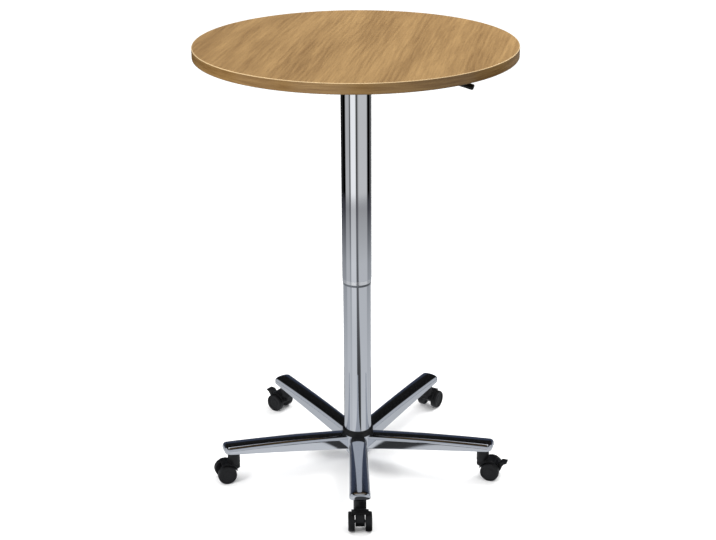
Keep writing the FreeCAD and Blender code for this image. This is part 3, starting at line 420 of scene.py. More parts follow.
def turned(name, profile, sides=ROUND, hollow=False):
    """A turned shape about Z through (radius, height) points; a hollow one closes on its first point."""
    (radius, height), *rest = profile
    bpy.ops.object.select_all(action="DESELECT")
    bpy.ops.mesh.primitive_circle_add(
        vertices=sides, radius=radius, location=(0, 0, height), fill_type="NOTHING" if hollow else "NGON"
    )
    bpy.ops.object.transform_apply(location=True)
    piece = started(name)
    with shaping(piece):
        bpy.ops.mesh.select_all(action="SELECT")
        for next_radius, next_height in rest + ([profile[0]] if hollow else []):
            rise = (0, 0, next_height - height)
            bpy.ops.mesh.extrude_region_move(TRANSFORM_OT_translate={"value": rise})
            scale = next_radius / radius
            bpy.ops.transform.resize(value=(scale, scale, 1), center_override=(0, 0, next_height))
            radius, height = next_radius, next_height
    return mend(piece)


def rounded(profile, corners, steps=4):
    """The profile with some of its corners, {index: radius}, drawn as short arcs."""
    made = []
    for index, spot in enumerate(profile):
        radius = corners.get(index, 0)
        if not radius:
            made.append(spot)
            continue
        corner = Vector(spot)
        before = (Vector(profile[index - 1]) - corner).normalized()
        after = (Vector(profile[(index + 1) % len(profile)]) - corner).normalized()
        half = before.angle(after) / 2
        centre = corner + (before + after).normalized() * radius / math.sin(half)
        first = corner + before * radius / math.tan(half) - centre
        last = corner + after * radius / math.tan(half) - centre
        for step in range(steps + 1):
            made.append(tuple(centre + first.slerp(last, step / steps) * radius))
    return made


def block(name, start, end):
    """A box between two opposite corners."""
    start, end = Vector(start), Vector(end)
    bpy.ops.object.select_all(action="DESELECT")
    bpy.ops.mesh.primitive_cube_add(size=1, location=(start + end) / 2)
    piece = started(name)
    piece.scale = end - start
    bpy.ops.object.transform_apply(location=True, rotation=True, scale=True)
    return piece


def slab(name, outline, thickness, rounding=0.0, steps=2):
    """A plate in the XZ plane, centred on it, cut to an outline and with rounded rims."""
    curve = bpy.data.curves.new(name, "CURVE")
    curve.dimensions = "2D"
    curve.fill_mode = "BOTH"
    curve.extrude = thickness / 2 - rounding
    curve.bevel_depth = rounding
    curve.bevel_resolution = steps
    curve.offset = -rounding
    run = curve.splines.new("POLY")
    run.points.add(len(outline) - 1)
    for point, (out, up) in zip(run.points, outline):
        point.co = (out, up, 0, 1)
    run.use_cyclic_u = True
    piece = bpy.data.objects.new(name, curve)
    bpy.context.scene.collection.objects.link(piece)
    alone(piece)
    bpy.ops.object.convert(target="MESH")
    piece = started(name)
    move(piece, Matrix.Rotation(math.pi / 2, 4, "X"))
    mend(piece)
    return piece


def arc(centre, radius, start, end, steps):
    """Points along an arc, its angles in degrees."""
    turn = [math.radians(start + (end - start) * step / steps) for step in range(steps + 1)]
    return [(centre[0] + radius * math.cos(angle), centre[1] + radius * math.sin(angle)) for angle in turn]


def move(piece, matrix):
    """Put a piece in its place, and leave its object at the origin."""
    alone(piece)
    piece.matrix_world = matrix @ piece.matrix_world
    bpy.ops.object.transform_apply(location=True, rotation=True, scale=True)
    return piece


def mend(piece):
    """Merge doubled corners, drop faces without area and turn every face outwards."""
    with shaping(piece):
        bpy.ops.mesh.select_all(action="SELECT")
        bpy.ops.mesh.remove_doubles(threshold=0.005 * MM)
        bpy.ops.mesh.dissolve_degenerate(threshold=0.005 * MM)
        bpy.ops.mesh.select_all(action="SELECT")
        bpy.ops.mesh.normals_make_consistent(inside=False)
        if bmesh.from_edit_mesh(piece.data).calc_volume(signed=True) < 0:
            bpy.ops.mesh.flip_normals()
    return piece


def copied(piece, name, matrix=None):
    copy = bpy.data.objects.new(name, piece.data.copy())
    copy.data.name = name
    bpy.context.scene.collection.objects.link(copy)
    return move(copy, matrix or Matrix())


def join(first, *others):
    alone(first)
    for other in others:
        other.select_set(True)
    bpy.ops.object.join()
    return first


def modify(piece, kind, **choices):
    """Add a modifier with its choices, and apply it."""
    alone(piece)
    modifier = piece.modifiers.new(kind.lower(), kind)
    for name, choice in choices.items():
        setattr(modifier, name, choice)
    bpy.ops.object.modifier_apply(modifier=modifier.name)
    return piece


def carve(piece, tool, operation="DIFFERENCE"):
    modify(piece, "BOOLEAN", object=tool, operation=operation, solver="EXACT")
    bpy.data.objects.remove(tool)
    return piece


def soften(piece, width, segments=3, angle=30):
    return modify(
        piece,
        "BEVEL",
        width=width,
        segments=segments,
        limit_method="ANGLE",
        angle_limit=math.radians(angle),
    )


def shine(piece, angle=32):
    """Smooth shading with crisp corners, where the broad faces set the highlights."""
    alone(piece)
    bpy.ops.object.shade_smooth_by_angle(angle=math.radians(angle))
    return modify(piece, "WEIGHTED_NORMAL", keep_sharp=True, weight=100)


def dress(piece, body, finish, *nodes, slot=None):
    """Give a finished piece its finish, the body it rides on and the nodes that it stands for."""
    piece.data.materials.clear()
    piece.data.materials.append(FINISHES[finish])
    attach(piece, body)
    if nodes:
        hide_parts(*nodes)
    return piece


def dress_nodes(finish, *nodes):
    for name in nodes:
        node = frame["nodes"][name]
        if not node.material_slots:
            node.data.materials.append(None)
        for spot in node.material_slots:
            spot.material = FINISHES[finish]


def node_span(name):
    """Outer radius about the column, lowest and highest point of a node that is round about it."""
    lowest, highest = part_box(name)
    return highest.y, lowest.z, highest.z


def low(node):
    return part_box(node)[0]


def ring_of(name, one, place, count, start=0.0):
    """Copies of a piece round the column, joined; the piece itself goes."""
    turns = [Matrix.Rotation(start + math.tau * step / count, 4, "Z") for step in range(count)]
    ring = join(*[copied(one, f"{name}_{step}", turn @ place) for step, turn in enumerate(turns)])
    bpy.data.objects.remove(one)
    ring.name = name
    return shine(ring)


def socket_screw(name, shank, shank_length, head, head_height, drive):
    """A screw with a hexagon socket: its head's seat is at the origin, and the shank goes up."""
    profile = [(shank, shank_length), (shank, 0), (head, 0), (head, -head_height), (0.55 * head, -head_height)]
    screw = turned(name, rounded(profile, {3: 0.35 * head_height}, 3), 40)
    key = turned(name + "_key", [(drive, -head_height - MM), (drive, -0.45 * head_height)], 6)
    return carve(screw, key)


# ---- the board ----

class TABLE_OT_board(bpy.types.Operator):
    """Make the board's face and its edge band, and finish the core and the backing"""

    bl_idname = "table.board"
    bl_label = "Board"

    def execute(self, context):
        rim, bottom, top = node_span("edge_band")
        face, face_bottom, face_top = node_span("top_laminate")
        seam = 0.12 * MM
        rounding = min(settings("table_board").rim_rounding, rim - face - seam)
        disc = [(face - seam, face_bottom), (face - seam, face_top - seam), (face - 2 * seam, face_top)]
        top_face = turned("board_face", disc, 256)
        dress(shine(top_face), "top", "wood_laminate", "top_laminate")
        ring = [(face, bottom), (rim, bottom), (rim, top), (face, top)]
        band = turned("board_edge", rounded(ring, {1: rounding, 2: rounding, 3: seam}, 5), 256, hollow=True)
        dress(shine(band, 40), "top", "wood_edge", "edge_band", slot="wood_laminate")
        dress_nodes("chipboard", "tabletop_core")
        dress_nodes("backing_laminate", "backing_laminate")
        return {"FINISHED"}


# ---- the plate and the casting under the board ----

class TABLE_OT_mount(bpy.types.Operator):
    """Make the mounting plate and the screws that show, and finish the casting"""

    bl_idname = "table.mount"
    bl_label = "Mounting plate"

    def execute(self, context):
        lowest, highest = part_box("mounting_plate")
        plate = block("steel_plate", lowest, highest)
        with shaping(plate):
            bevel_edges(plate, lambda a, b: near(a.x, b.x) and near(a.y, b.y), 20 * MM, 10)
        soften(plate, 0.8 * MM)
        dress(shine(plate), "top", "black_painted_steel", "mounting_plate")
        self.wood_screws(lowest.z)
        self.tube_screws()
        dress_nodes("cast_aluminium", "head_casting")
        dress_nodes("zinc_steel", "casting_screws")
        return {"FINISHED"}

    def wood_screws(self, seat):
        one = socket_screw("screw", 2.5 * MM, 20 * MM, 5 * MM, 3 * MM, 2 * MM)
        screws = ring_of("wood_screws", one, Matrix.Translation((105 * MM, 0, seat)), 8)
        dress(screws, "top", "zinc_steel", "board_screws")

    def tube_screws(self):
        tube = node_span("upper_tube")[0]
        lowest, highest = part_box("tube_screws")
        height = (lowest.z + highest.z) / 2
        one = socket_screw("screw", 2.5 * MM, 8 * MM, 4.5 * MM, 2 * MM, 1.5 * MM)
        lay = Matrix.Translation((tube, 0, height)) @ Matrix.Rotation(-math.pi / 2, 4, "Y")
        screws = ring_of("column_screws", one, lay, 3, lever_heading() + math.pi)
        dress(screws, "top", "zinc_steel", "tube_screws")


def lever_heading():
    """The lever's direction, from the axis of its pivot."""
    axis = Vector(JOINTS["lever_pivot"]["axis"])
    out = Z_AXIS.cross(axis)
    return math.atan2(out.y, out.x)


# ---- the column ----

class TABLE_OT_column(bpy.types.Operator):
    """Make the two chromed tubes, the trim ring and the black collar"""

    bl_idname = "table.column"
    bl_label = "Column"

    def execute(self, context):
        self.upper_tube()
        self.trim()
        self.lower_tube()
        dress_nodes("black_plastic", "upper_guide")
        return {"FINISHED"}

    def upper_tube(self):
        outer, bottom, top = node_span("upper_tube")
        inner = outer - 1.2 * MM
        slot_foot = top - 22 * MM
        rim = 0.4 * MM
        wall = [
            (inner, bottom),
            (outer, bottom),
            (outer, bottom + 2 * MM),
            (outer, slot_foot - 6 * MM),
            (outer, top),
            (inner, top),
        ]
        tube = turned("outer_tube", rounded(wall, {0: rim, 1: rim}, 3), hollow=True)
        slot = block("slot", (0, -7 * MM, slot_foot), (2 * outer, 7 * MM, top + MM))
        move(slot, Matrix.Rotation(lever_heading(), 4, "Z"))
        dress(shine(carve(tube, slot)), "top", "chromed_steel", "upper_tube")

    def trim(self):
        outer, bottom, top = node_span("trim_ring")
        guide, lip_foot, _ = node_span("lower_guide")
        lower = node_span("lower_tube")[0]
        ring = [(guide + 0.05 * MM, bottom), (outer, bottom), (outer, top), (guide + 0.05 * MM, top)]
        piece = turned("joint_ring", rounded(ring, {1: 0.9 * MM, 2: 0.5 * MM}, 4), hollow=True)
        dress(shine(piece), "top", "satin_chrome", "trim_ring", slot="chromed_steel")
        lip = outer - 0.9 * MM
        bush = [
            (lower + 0.05 * MM, lip_foot),
            (lip, lip_foot),
            (lip, bottom),
            (guide, bottom),
            (guide, top + 45 * MM),
            (lower + 0.05 * MM, top + 45 * MM),
        ]
        piece = turned("guide_bush", rounded(bush, {1: 0.6 * MM}, 3), hollow=True)
        dress(shine(piece), "top", "grey_plastic", "lower_guide")

    def lower_tube(self):
        outer, bottom, top = node_span("lower_tube")
        inner = outer - 2 * MM
        wall = [(inner, bottom), (outer, bottom), (outer, top - MM), (outer, top), (inner, top)]
        tube = turned("inner_tube", rounded(wall, {3: 0.5 * MM}, 3), hollow=True)
        dress(shine(tube), "base", "chromed_steel", "lower_tube")
        reach, foot, head = node_span("base_collar")
        collar = [(outer + 0.05 * MM, foot), (reach, foot), (reach, head), (outer + 0.05 * MM, head)]
        piece = turned("foot_collar", rounded(collar, {2: 2 * MM, 3: 0.6 * MM}, 5), hollow=True)
        dress(shine(piece), "base", "black_plastic", "base_collar")


# ---- the gas spring and the foot of the column ----

class TABLE_OT_spring(bpy.types.Operator):
    """Make the bearing's cage and the screws in the base, and finish the gas spring"""

    bl_idname = "table.spring"
    bl_label = "Gas spring"

    def execute(self, context):
        dress_nodes("black_painted_steel", "gas_cylinder")
        dress_nodes("chromed_steel", "piston_rod")
        dress_nodes("black_rubber", "rod_bumper")
        dress_nodes(
            "zinc_steel",
            "cylinder_gland",
            "release_button",
            "retaining_clip",
            "bearing_lower_washer",
            "bearing_upper_washer",
            "foot_plate",
        )
        self.ball_cage()
        one = socket_screw("screw", 4 * MM, 18 * MM, 6.5 * MM, 8 * MM, 3.4 * MM)
        seat = low("foot_screws").z + 8 * MM
        screws = ring_of("hub_screws", one, Matrix.Translation((20 * MM, 0, seat)), 3)
        dress(screws, "base", "zinc_steel", "foot_screws")
        return {"FINISHED"}

    def ball_cage(self):
        """The bearing's cage, a hair clear of the washer that turns on it."""
        outer, bottom, top = node_span("bearing_ball_cage")
        bore = 5.2 * MM
        top -= 0.05 * MM
        ring = [(bore, bottom), (outer, bottom), (outer, top), (bore, top)]
        cage = turned("ball_cage", rounded(ring, {1: 0.6 * MM, 2: 0.6 * MM}, 3), 48, hollow=True)
        dress(shine(cage), "base", "zinc_steel", "bearing_ball_cage")


# ---- the release lever ----

class TABLE_OT_lever(bpy.types.Operator):
    """Make the release lever and its handle"""

    bl_idname = "table.lever"
    bl_label = "Release lever"

    def execute(self, context):
        height = JOINTS["lever_pivot"]["pos_m"][2]
        slope = math.radians(11.3)
        bend, reach = 48 * MM, 285 * MM
        turn = Matrix.Rotation(lever_heading(), 4, "Z")
        bar = block("lever_bar", (-4 * MM, -6 * MM, height - 4 * MM), (34 * MM, 6 * MM, height + 4 * MM))
        with shaping(bar):
            bevel_edges(bar, lambda a, b: a.x < 0 and b.x < 0 and near(a.z, b.z), 3.5 * MM, 6)
        soften(bar, 0.5 * MM, 2)
        rod = self.rod(height, slope, bend, reach)
        carve(bar, rod, "UNION")
        move(bar, turn)
        dress(shine(bar), "lever", "black_painted_steel", "lever_arm")
        dress_nodes("zinc_steel", "lever_pin")
        start = reach - 62 * MM
        foot = height - (start - bend) * math.tan(slope)
        grip = self.grip()
        move(grip, turn @ Matrix.Translation((start, 0, foot)) @ Matrix.Rotation(slope, 4, "Y"))
        dress(grip, "lever", "black_plastic", "lever_handle")
        return {"FINISHED"}

    def rod(self, height, slope, bend, reach):
        """The round outer part, drawn out ring by ring along its bend."""
        start, radius = 32 * MM, 3.5 * MM
        bpy.ops.object.select_all(action="DESELECT")
        bpy.ops.mesh.primitive_circle_add(
            vertices=32,
            radius=radius,
            location=(start, 0, height),
            rotation=(0, math.pi / 2, 0),
            fill_type="NGON",
        )
        bpy.ops.object.transform_apply(location=True, rotation=True)
        rod = started("lever_rod")
        steps = [(bend - 3 * MM, 0), (bend, 0.25), (bend + 3 * MM, 0.6), (bend + 6 * MM, 1), (reach, 1)]
        with shaping(rod):
            bpy.ops.mesh.select_all(action="SELECT")
            place, fall = start, 0
            for out, part in steps:
                target = (out - bend) * math.tan(slope) if part == 1 else part * 3 * MM * math.tan(slope)
                step = (out - place, 0, fall - target)
                bpy.ops.mesh.extrude_region_move(TRANSFORM_OT_translate={"value": step})
                place, fall = out, target
            bpy.ops.mesh.select_all(action="SELECT")
            bpy.ops.mesh.normals_make_consistent(inside=False)
        return rod

    def grip(self):
        """The handle along +X: it widens and deepens outwards, with finger ribs near its end."""
        span = 76 * MM
        grip = block("handle_grip", (0, -6 * MM, -5.25 * MM), (span, 6 * MM, 5.25 * MM))
        cuts = [2, 10, 20, 30, 38] + [40 + 2.5 * step for step in range(10)] + [66, 70, 73, 75]
        with shaping(grip):
            for cut in cuts:
                bpy.ops.mesh.select_all(action="SELECT")
                bpy.ops.mesh.bisect(plane_co=(cut * MM, 0, 0), plane_no=(1, 0, 0))
            for cut in [0, *cuts, 76]:
                part = cut / 76
                wide = 1 + part * (26 / 12 - 1)
                deep = 1 + part * (15 / 10.5 - 1)
                rib = 0.93 if 40 <= cut <= 62.5 and (cut - 40) % 5 < 1 else 1.0
                end = {0: 0.9, 75: 0.95, 76: 0.84}.get(cut, 1.0)
                pick(grip, lambda spot, cut=cut: near(spot.x, cut * MM))
                bpy.ops.transform.resize(
                    value=(1, wide * end, deep * rib * end), center_override=(cut * MM, 0, 0)
                )
        modify(grip, "SUBSURF", levels=2, render_levels=2)
        alone(grip)
        bpy.ops.object.shade_smooth_by_angle(angle=math.radians(50))
        return grip


# ---- the star base ----

class TABLE_OT_base(bpy.types.Operator):
    """Make the polished five-arm base"""

    bl_idname = "table.base"
    bl_label = "Star base"

    root, tip = 30 * MM, 375 * MM
    wide, deep = 25 * MM, 40 * MM
    crown = 4 * MM
    crown_lines = (0.0, 0.15, 0.3, 0.45, 0.58)
    rounded_end = 13 * MM
    end_level = 90 * MM
    hub, hub_foot, hub_top = 42 * MM, 41 * MM, 80 * MM
    foot_bore, spring_bore = 28 * MM, 12 * MM
    web_foot, web_top = 38 * MM, 48 * MM
    room_top = 95 * MM

    def execute(self, context):
        arm = self.arm()
        carve(arm, self.channel())
        skirt = [(32 * MM, 22 * MM), (35 * MM, self.hub_foot)]
        drum = [(self.hub, self.hub_foot), (self.hub, self.hub_top), (self.root, self.hub_top)]
        base = turned("star_base", rounded(skirt + drum, {2: 2 * MM, 3: 1.5 * MM}, 3))
        for step in range(ARM_COUNT):
            turn = Matrix.Rotation(math.tau * step / ARM_COUNT - math.pi / 2, 4, "Z")
            carve(base, copied(arm, f"arm_{step}", turn), "UNION")
        bpy.data.objects.remove(arm)
        carve(base, self.bore())
        mend(base)
        dress(shine(base, 35), "base", "polished_aluminium", "five_star_base")
        dress_nodes("black_painted_steel", "castor_sockets")
        return {"FINISHED"}

    def bore(self):
        """The spring's place from below, the web over it, the tube's place, and the room over the hub."""
        tube = node_span("lower_tube")[0] + 0.05 * MM
        steps = [
            (self.foot_bore, self.web_foot),
            (self.spring_bore, self.web_top),
            (tube, self.hub_top),
            (self.hub, self.room_top),
        ]
        profile = [(self.foot_bore, 0)]
        for radius, height in steps:
            profile += [(radius, profile[-1][1]), (radius, height)]
        return turned("bore", profile[1:])

    def part(self, out):
        """How far along the arm a place is, from 0 at its root to 1 at its tip."""
        return (out - self.root) / (self.tip - self.root)

    def half_width(self, out):
        return (23.5 + 3.25 * self.part(out)) * MM

    def top(self, out):
        part = self.part(out)
        return (76.5 + 24.5 * part + 11.2 * part * (1 - part)) * MM

    def under(self, out):
        part = self.part(out)
        return (39.5 + 46 * part + 5.2 * part * (1 - part)) * MM

    def arm(self):
        """An arm along +X: a crowned bar with rounded rims, drawn to shape, with a rounded end."""
        bar = block("arm", (self.root, -self.wide, 0), (self.tip, self.wide, self.deep))
        with shaping(bar):
            self.cut(1, {side * line * self.wide for line in self.crown_lines for side in (-1, 1)})
            for line in self.crown_lines:
                pick(bar, lambda spot: near(abs(spot.y), line * self.wide) and near(spot.z, self.deep))
                bpy.ops.transform.translate(value=(0, 0, self.crown * (1 - line**2)))
            for level, radius, segments in ((self.deep, 8.5 * MM, 7), (0, 2.5 * MM, 3)):

                def on_rim(a, b):
                    beside = near(a.y, b.y) and near(abs(a.y), self.wide)
                    return beside and near(a.z, level) and near(b.z, level)

                bevel_edges(bar, on_rim, radius, segments)
        turns = [math.pi / 2 * step / 7 for step in range(8)]
        ends = {round(self.tip - self.rounded_end * (1 - math.sin(turn)), 5): math.cos(turn) for turn in turns}
        even = [round(self.root + 23 * MM * step, 5) for step in range(15)]
        self.draw_out(bar, sorted({*even, *ends}))
        with shaping(bar):
            for out, left in ends.items():
                pick(bar, lambda spot: near(spot.x, out))
                shrink = (1, 0.5 + 0.5 * left, 0.45 + 0.55 * left)
                bpy.ops.transform.resize(value=shrink, center_override=(out, 0, self.end_level))
        return bar

    def channel(self):
        """The room inside an arm's walls, open below."""
        start, end = 62 * MM, 322 * MM
        bar = block("channel", (start, -self.wide, 0), (end, self.wide, self.deep))
        self.draw_out(bar, [start, 0.1, 0.15, 0.2, 0.25, 0.29, end], 4.5 * MM)
        return bar

    def cut(self, axis, places):
        """Cut all that is being shaped at places along an axis."""
        for place in places:
            normal = [0, 0, 0]
            normal[axis] = 1
            bpy.ops.mesh.select_all(action="SELECT")
            bpy.ops.mesh.bisect(plane_co=[place * way for way in normal], plane_no=normal)

    def draw_out(self, bar, stations, wall=0.0):
        """Give a straight bar the arm's width, top and underside at each station, less a wall."""
        with shaping(bar):
            self.cut(0, stations[1:-1])
            for out in stations:
                rise = self.top(out) - wall - self.deep
                pick(bar, lambda spot: near(spot.x, out) and spot.z > self.deep / 2)
                bpy.ops.transform.translate(value=(0, 0, rise))
                pick(bar, lambda spot: near(spot.x, out) and spot.z < self.deep / 2)
                bpy.ops.transform.translate(value=(0, 0, self.under(out) - wall))
                pick(bar, lambda spot: near(spot.x, out))
                width = (self.half_width(out) - wall) / self.wide
                bpy.ops.transform.resize(value=(1, width, 1), center_override=(out, 0, 0))


# ---- the castors ----

def castor_place(number):
    """The castor's frame: X trails from the stem's axis, Y is along the axle, and Z starts on the floor."""
    stem = Vector(JOINTS[f"castor_{number}_swivel"]["pos_m"])
    axle = Vector(JOINTS[f"castor_{number}_left_roll"]["axis"])
    trail = axle.cross(Z_AXIS)
    turn = Matrix((trail, axle, Z_AXIS)).transposed().to_4x4()
    return Matrix.Translation((stem.x, stem.y, 0)) @ turn


class TABLE_OT_castors(bpy.types.Operator):
    """Make the castors' housings and wheels, and finish their stems and axles"""

    bl_idname = "table.castors"
    bl_label = "Castors"

    def execute(self, context):
        wheel = self.wheel()
        plain = self.housing(False)
        forked = self.housing(True)
        for number in CASTORS:
            place = castor_place(number)
            body = f"castor_{number}"
            housing = copied(forked if number in BRAKED else plain, f"castor_{number}_shell", place)
            dress(housing, body, "castor_plastic", f"{body}_housing")
            for side, flip in (("left", 1), ("right", -1)):
                lay = Matrix.Translation((24 * MM, 0, 25 * MM)) @ Matrix.Rotation(-flip * math.pi / 2, 4, "X")
                roller = copied(wheel, f"castor_{number}_roller_{side}", place @ lay)
                dress(roller, f"{body}_{side}_wheel", "wheel_plastic", f"{body}_wheel_{side}")
            dress_nodes("black_painted_steel", f"{body}_stem")
            dress_nodes("zinc_steel", f"{body}_axle")
        for pattern in (wheel, plain, forked):
            bpy.data.objects.remove(pattern)
        return {"FINISHED"}

    def wheel(self):
        """A wheel about Z, its inner face towards -Z, with a dished disc, a cap and a crowned tread."""
        bore, inner, outer = 4.05 * MM, 13 * MM, 30 * MM
        profile = [
            (11 * MM, inner),
            (11 * MM, inner + 3 * MM),
            (20.5 * MM, inner + 3 * MM),
            (21 * MM, inner + 0.4 * MM),
            (24.2 * MM, inner + 0.4 * MM),
            (24.8 * MM, inner + 2.2 * MM),
            (25 * MM, 19 * MM),
            (25 * MM, 24 * MM),
            (24.8 * MM, 27.6 * MM),
            (23.6 * MM, 29.6 * MM),
            (22 * MM, outer),
            (20.6 * MM, outer - 0.2 * MM),
            (20 * MM, outer - 2 * MM),
            (12.6 * MM, outer - 3 * MM),
            (12 * MM, outer - 2.6 * MM),
            (11 * MM, outer - 2 * MM),
            (6 * MM, outer - 2 * MM),
            (5.4 * MM, outer - 2.4 * MM),
            (1 * MM, outer - 2.4 * MM),
        ]
        wheel = turned("wheel", profile, 96)
        bore_tool = turned("bore", [(bore, inner - MM), (bore, 25 * MM)], 48)
        return shine(carve(wheel, bore_tool), 30)

    def housing(self, forked):
        """Neck, hood and web in one moulding, its inner corners filled as a mould leaves them."""
        axle = (24 * MM, 25 * MM)
        top = low("castor_1_stem").z + 24.7 * MM
        neck = turned(
            "housing",
            rounded([(16.4 * MM, 47 * MM), (16.4 * MM, top), (5 * MM, top)], {1: 2.4 * MM}, 4),
            64,
        )
        hood = slab(
            "hood",
            arc(axle, 30 * MM, 66, 167, 26) + arc(axle, 26.4 * MM, 167, 66, 26),
            43.6 * MM,
            1.2 * MM,
        )
        outline = [(-13.8 * MM, 55 * MM), (-13.8 * MM, 35.5 * MM), *arc(axle, 12.9 * MM, 205, 395, 24)]
        if forked:
            outline += [*arc((38 * MM, 40 * MM), 6 * MM, -30, 100, 10)]
        outline += [(26 * MM, 51 * MM)]
        web = slab("web", outline, 23.8 * MM, 1.2 * MM)
        join(neck, hood, web)
        modify(neck, "REMESH", mode="VOXEL", voxel_size=0.8 * MM)
        modify(neck, "SMOOTH", factor=0.5, iterations=5)
        stem = turned("stem_hole", [(5.05 * MM, top - 25 * MM), (5.05 * MM, top + MM)], 48)
        carve(neck, stem)
        axle_hole = turned("axle_hole", [(4.05 * MM, -20 * MM), (4.05 * MM, 20 * MM)], 48)
        move(axle_hole, Matrix.Translation((axle[0], 0, axle[1])) @ Matrix.Rotation(math.pi / 2, 4, "X"))
        carve(neck, axle_hole)
        if forked:
            carve(neck, block("pedal_slot", (32.9 * MM, -5 * MM, 31 * MM), (48 * MM, 5 * MM, 45.1 * MM)))
        return shine(neck, 40)


class TABLE_OT_brakes(bpy.types.Operator):
    """Make the brake pedals"""

    bl_idname = "table.brakes"
    bl_label = "Brake pedals"

    def execute(self, context):
        pattern = self.pedal()
        for number in BRAKED:
            pedal = copied(pattern, f"castor_{number}_treadle", castor_place(number))
            dress(pedal, f"castor_{number}_pedal", "castor_plastic", f"castor_{number}_brake_pedal")
        bpy.data.objects.remove(pattern)
        return {"FINISHED"}

    def pedal(self):
        """Eye and tongue between the ears, and a ribbed treadle outside them."""
        pivot = Vector((38 * MM, 40 * MM))

        def at(out, up):
            return tuple(pivot + Vector((out, up)) * MM)

        eye = slab("pedal", arc(pivot, 4.4 * MM, 90, 270, 12) + [at(13, -6.8), at(13, 4.3)], 9.3 * MM, 0.6 * MM)
        treadle = slab(
            "treadle",
            [at(8, -8.8), at(13, -7), at(21, 5), at(28.8, 9), at(28.8, 11.3), at(13.5, 11.3), at(8, 4.5)],
            22.8 * MM,
            0.9 * MM,
        )
        join(eye, treadle)
        pin = turned("pin", [(2.45 * MM, -11.9 * MM), (2.45 * MM, 11.9 * MM)], 32)
        join(eye, move(pin, Matrix.Translation((pivot.x, 0, pivot.y)) @ Matrix.Rotation(math.pi / 2, 4, "X")))
        modify(eye, "REMESH", mode="VOXEL", voxel_size=0.5 * MM)
        modify(eye, "SMOOTH", factor=0.5, iterations=3)
        return shine(eye, 40)


# ---- floor, light and camera ----

# Soft panels and dark flags that stand round the table: bearing, half width and soft edge in degrees
# (0 is the front and plus is the right), and brightness.
PANELS = (
    (-75, 15, 10, 0.5),
    (-25, 15, 10, 1.0),
    (50, 30, 20, 0.6),
    (105, 10, 10, 0.0),
    (-105, 10, 10, 0.0),
    (180, 40, 30, 0.15),
)
DIM = 0.02
ROOM_HEIGHTS = [
    (0.0, (0.8, 0.8, 0.8)),
    (0.05, (0.06, 0.07, 0.10)),
    (0.25, (0.04, 0.05, 0.08)),
    (0.3, (0.01, 0.01, 0.01)),
    (0.8, (0.0, 0.0, 0.0)),
    (0.9, (1.0, 1.0, 1.0)),
]
# Tints of the mirrored floor by distance over 3 m: pale near the column, then painted shade from about 1.5 m
# out.
FLOOR_TINTS_WITH_SHADE = [(0.0, (0.6, 0.62, 0.65)), (0.5, (0.5, 0.52, 0.55)), (0.7, (0.1, 0.1, 0.12))]


def panel_light(finish, side):
    """The brightness of the room by bearing, from its panels and flags."""
    total = DIM
    for bearing, half_width, edge, level in PANELS:
        bearing, half_width, edge = (math.radians(angle) for angle in (bearing, half_width, edge))
        gap = finish.add("ShaderNodeMath", {"operation": "ABSOLUTE"}, {0: side - bearing})
        mask = finish.spread(gap, half_width, half_width + edge, 1.0, 0.0)
        total = total + mask * (level - total)
    return finish.point(total, total, total)


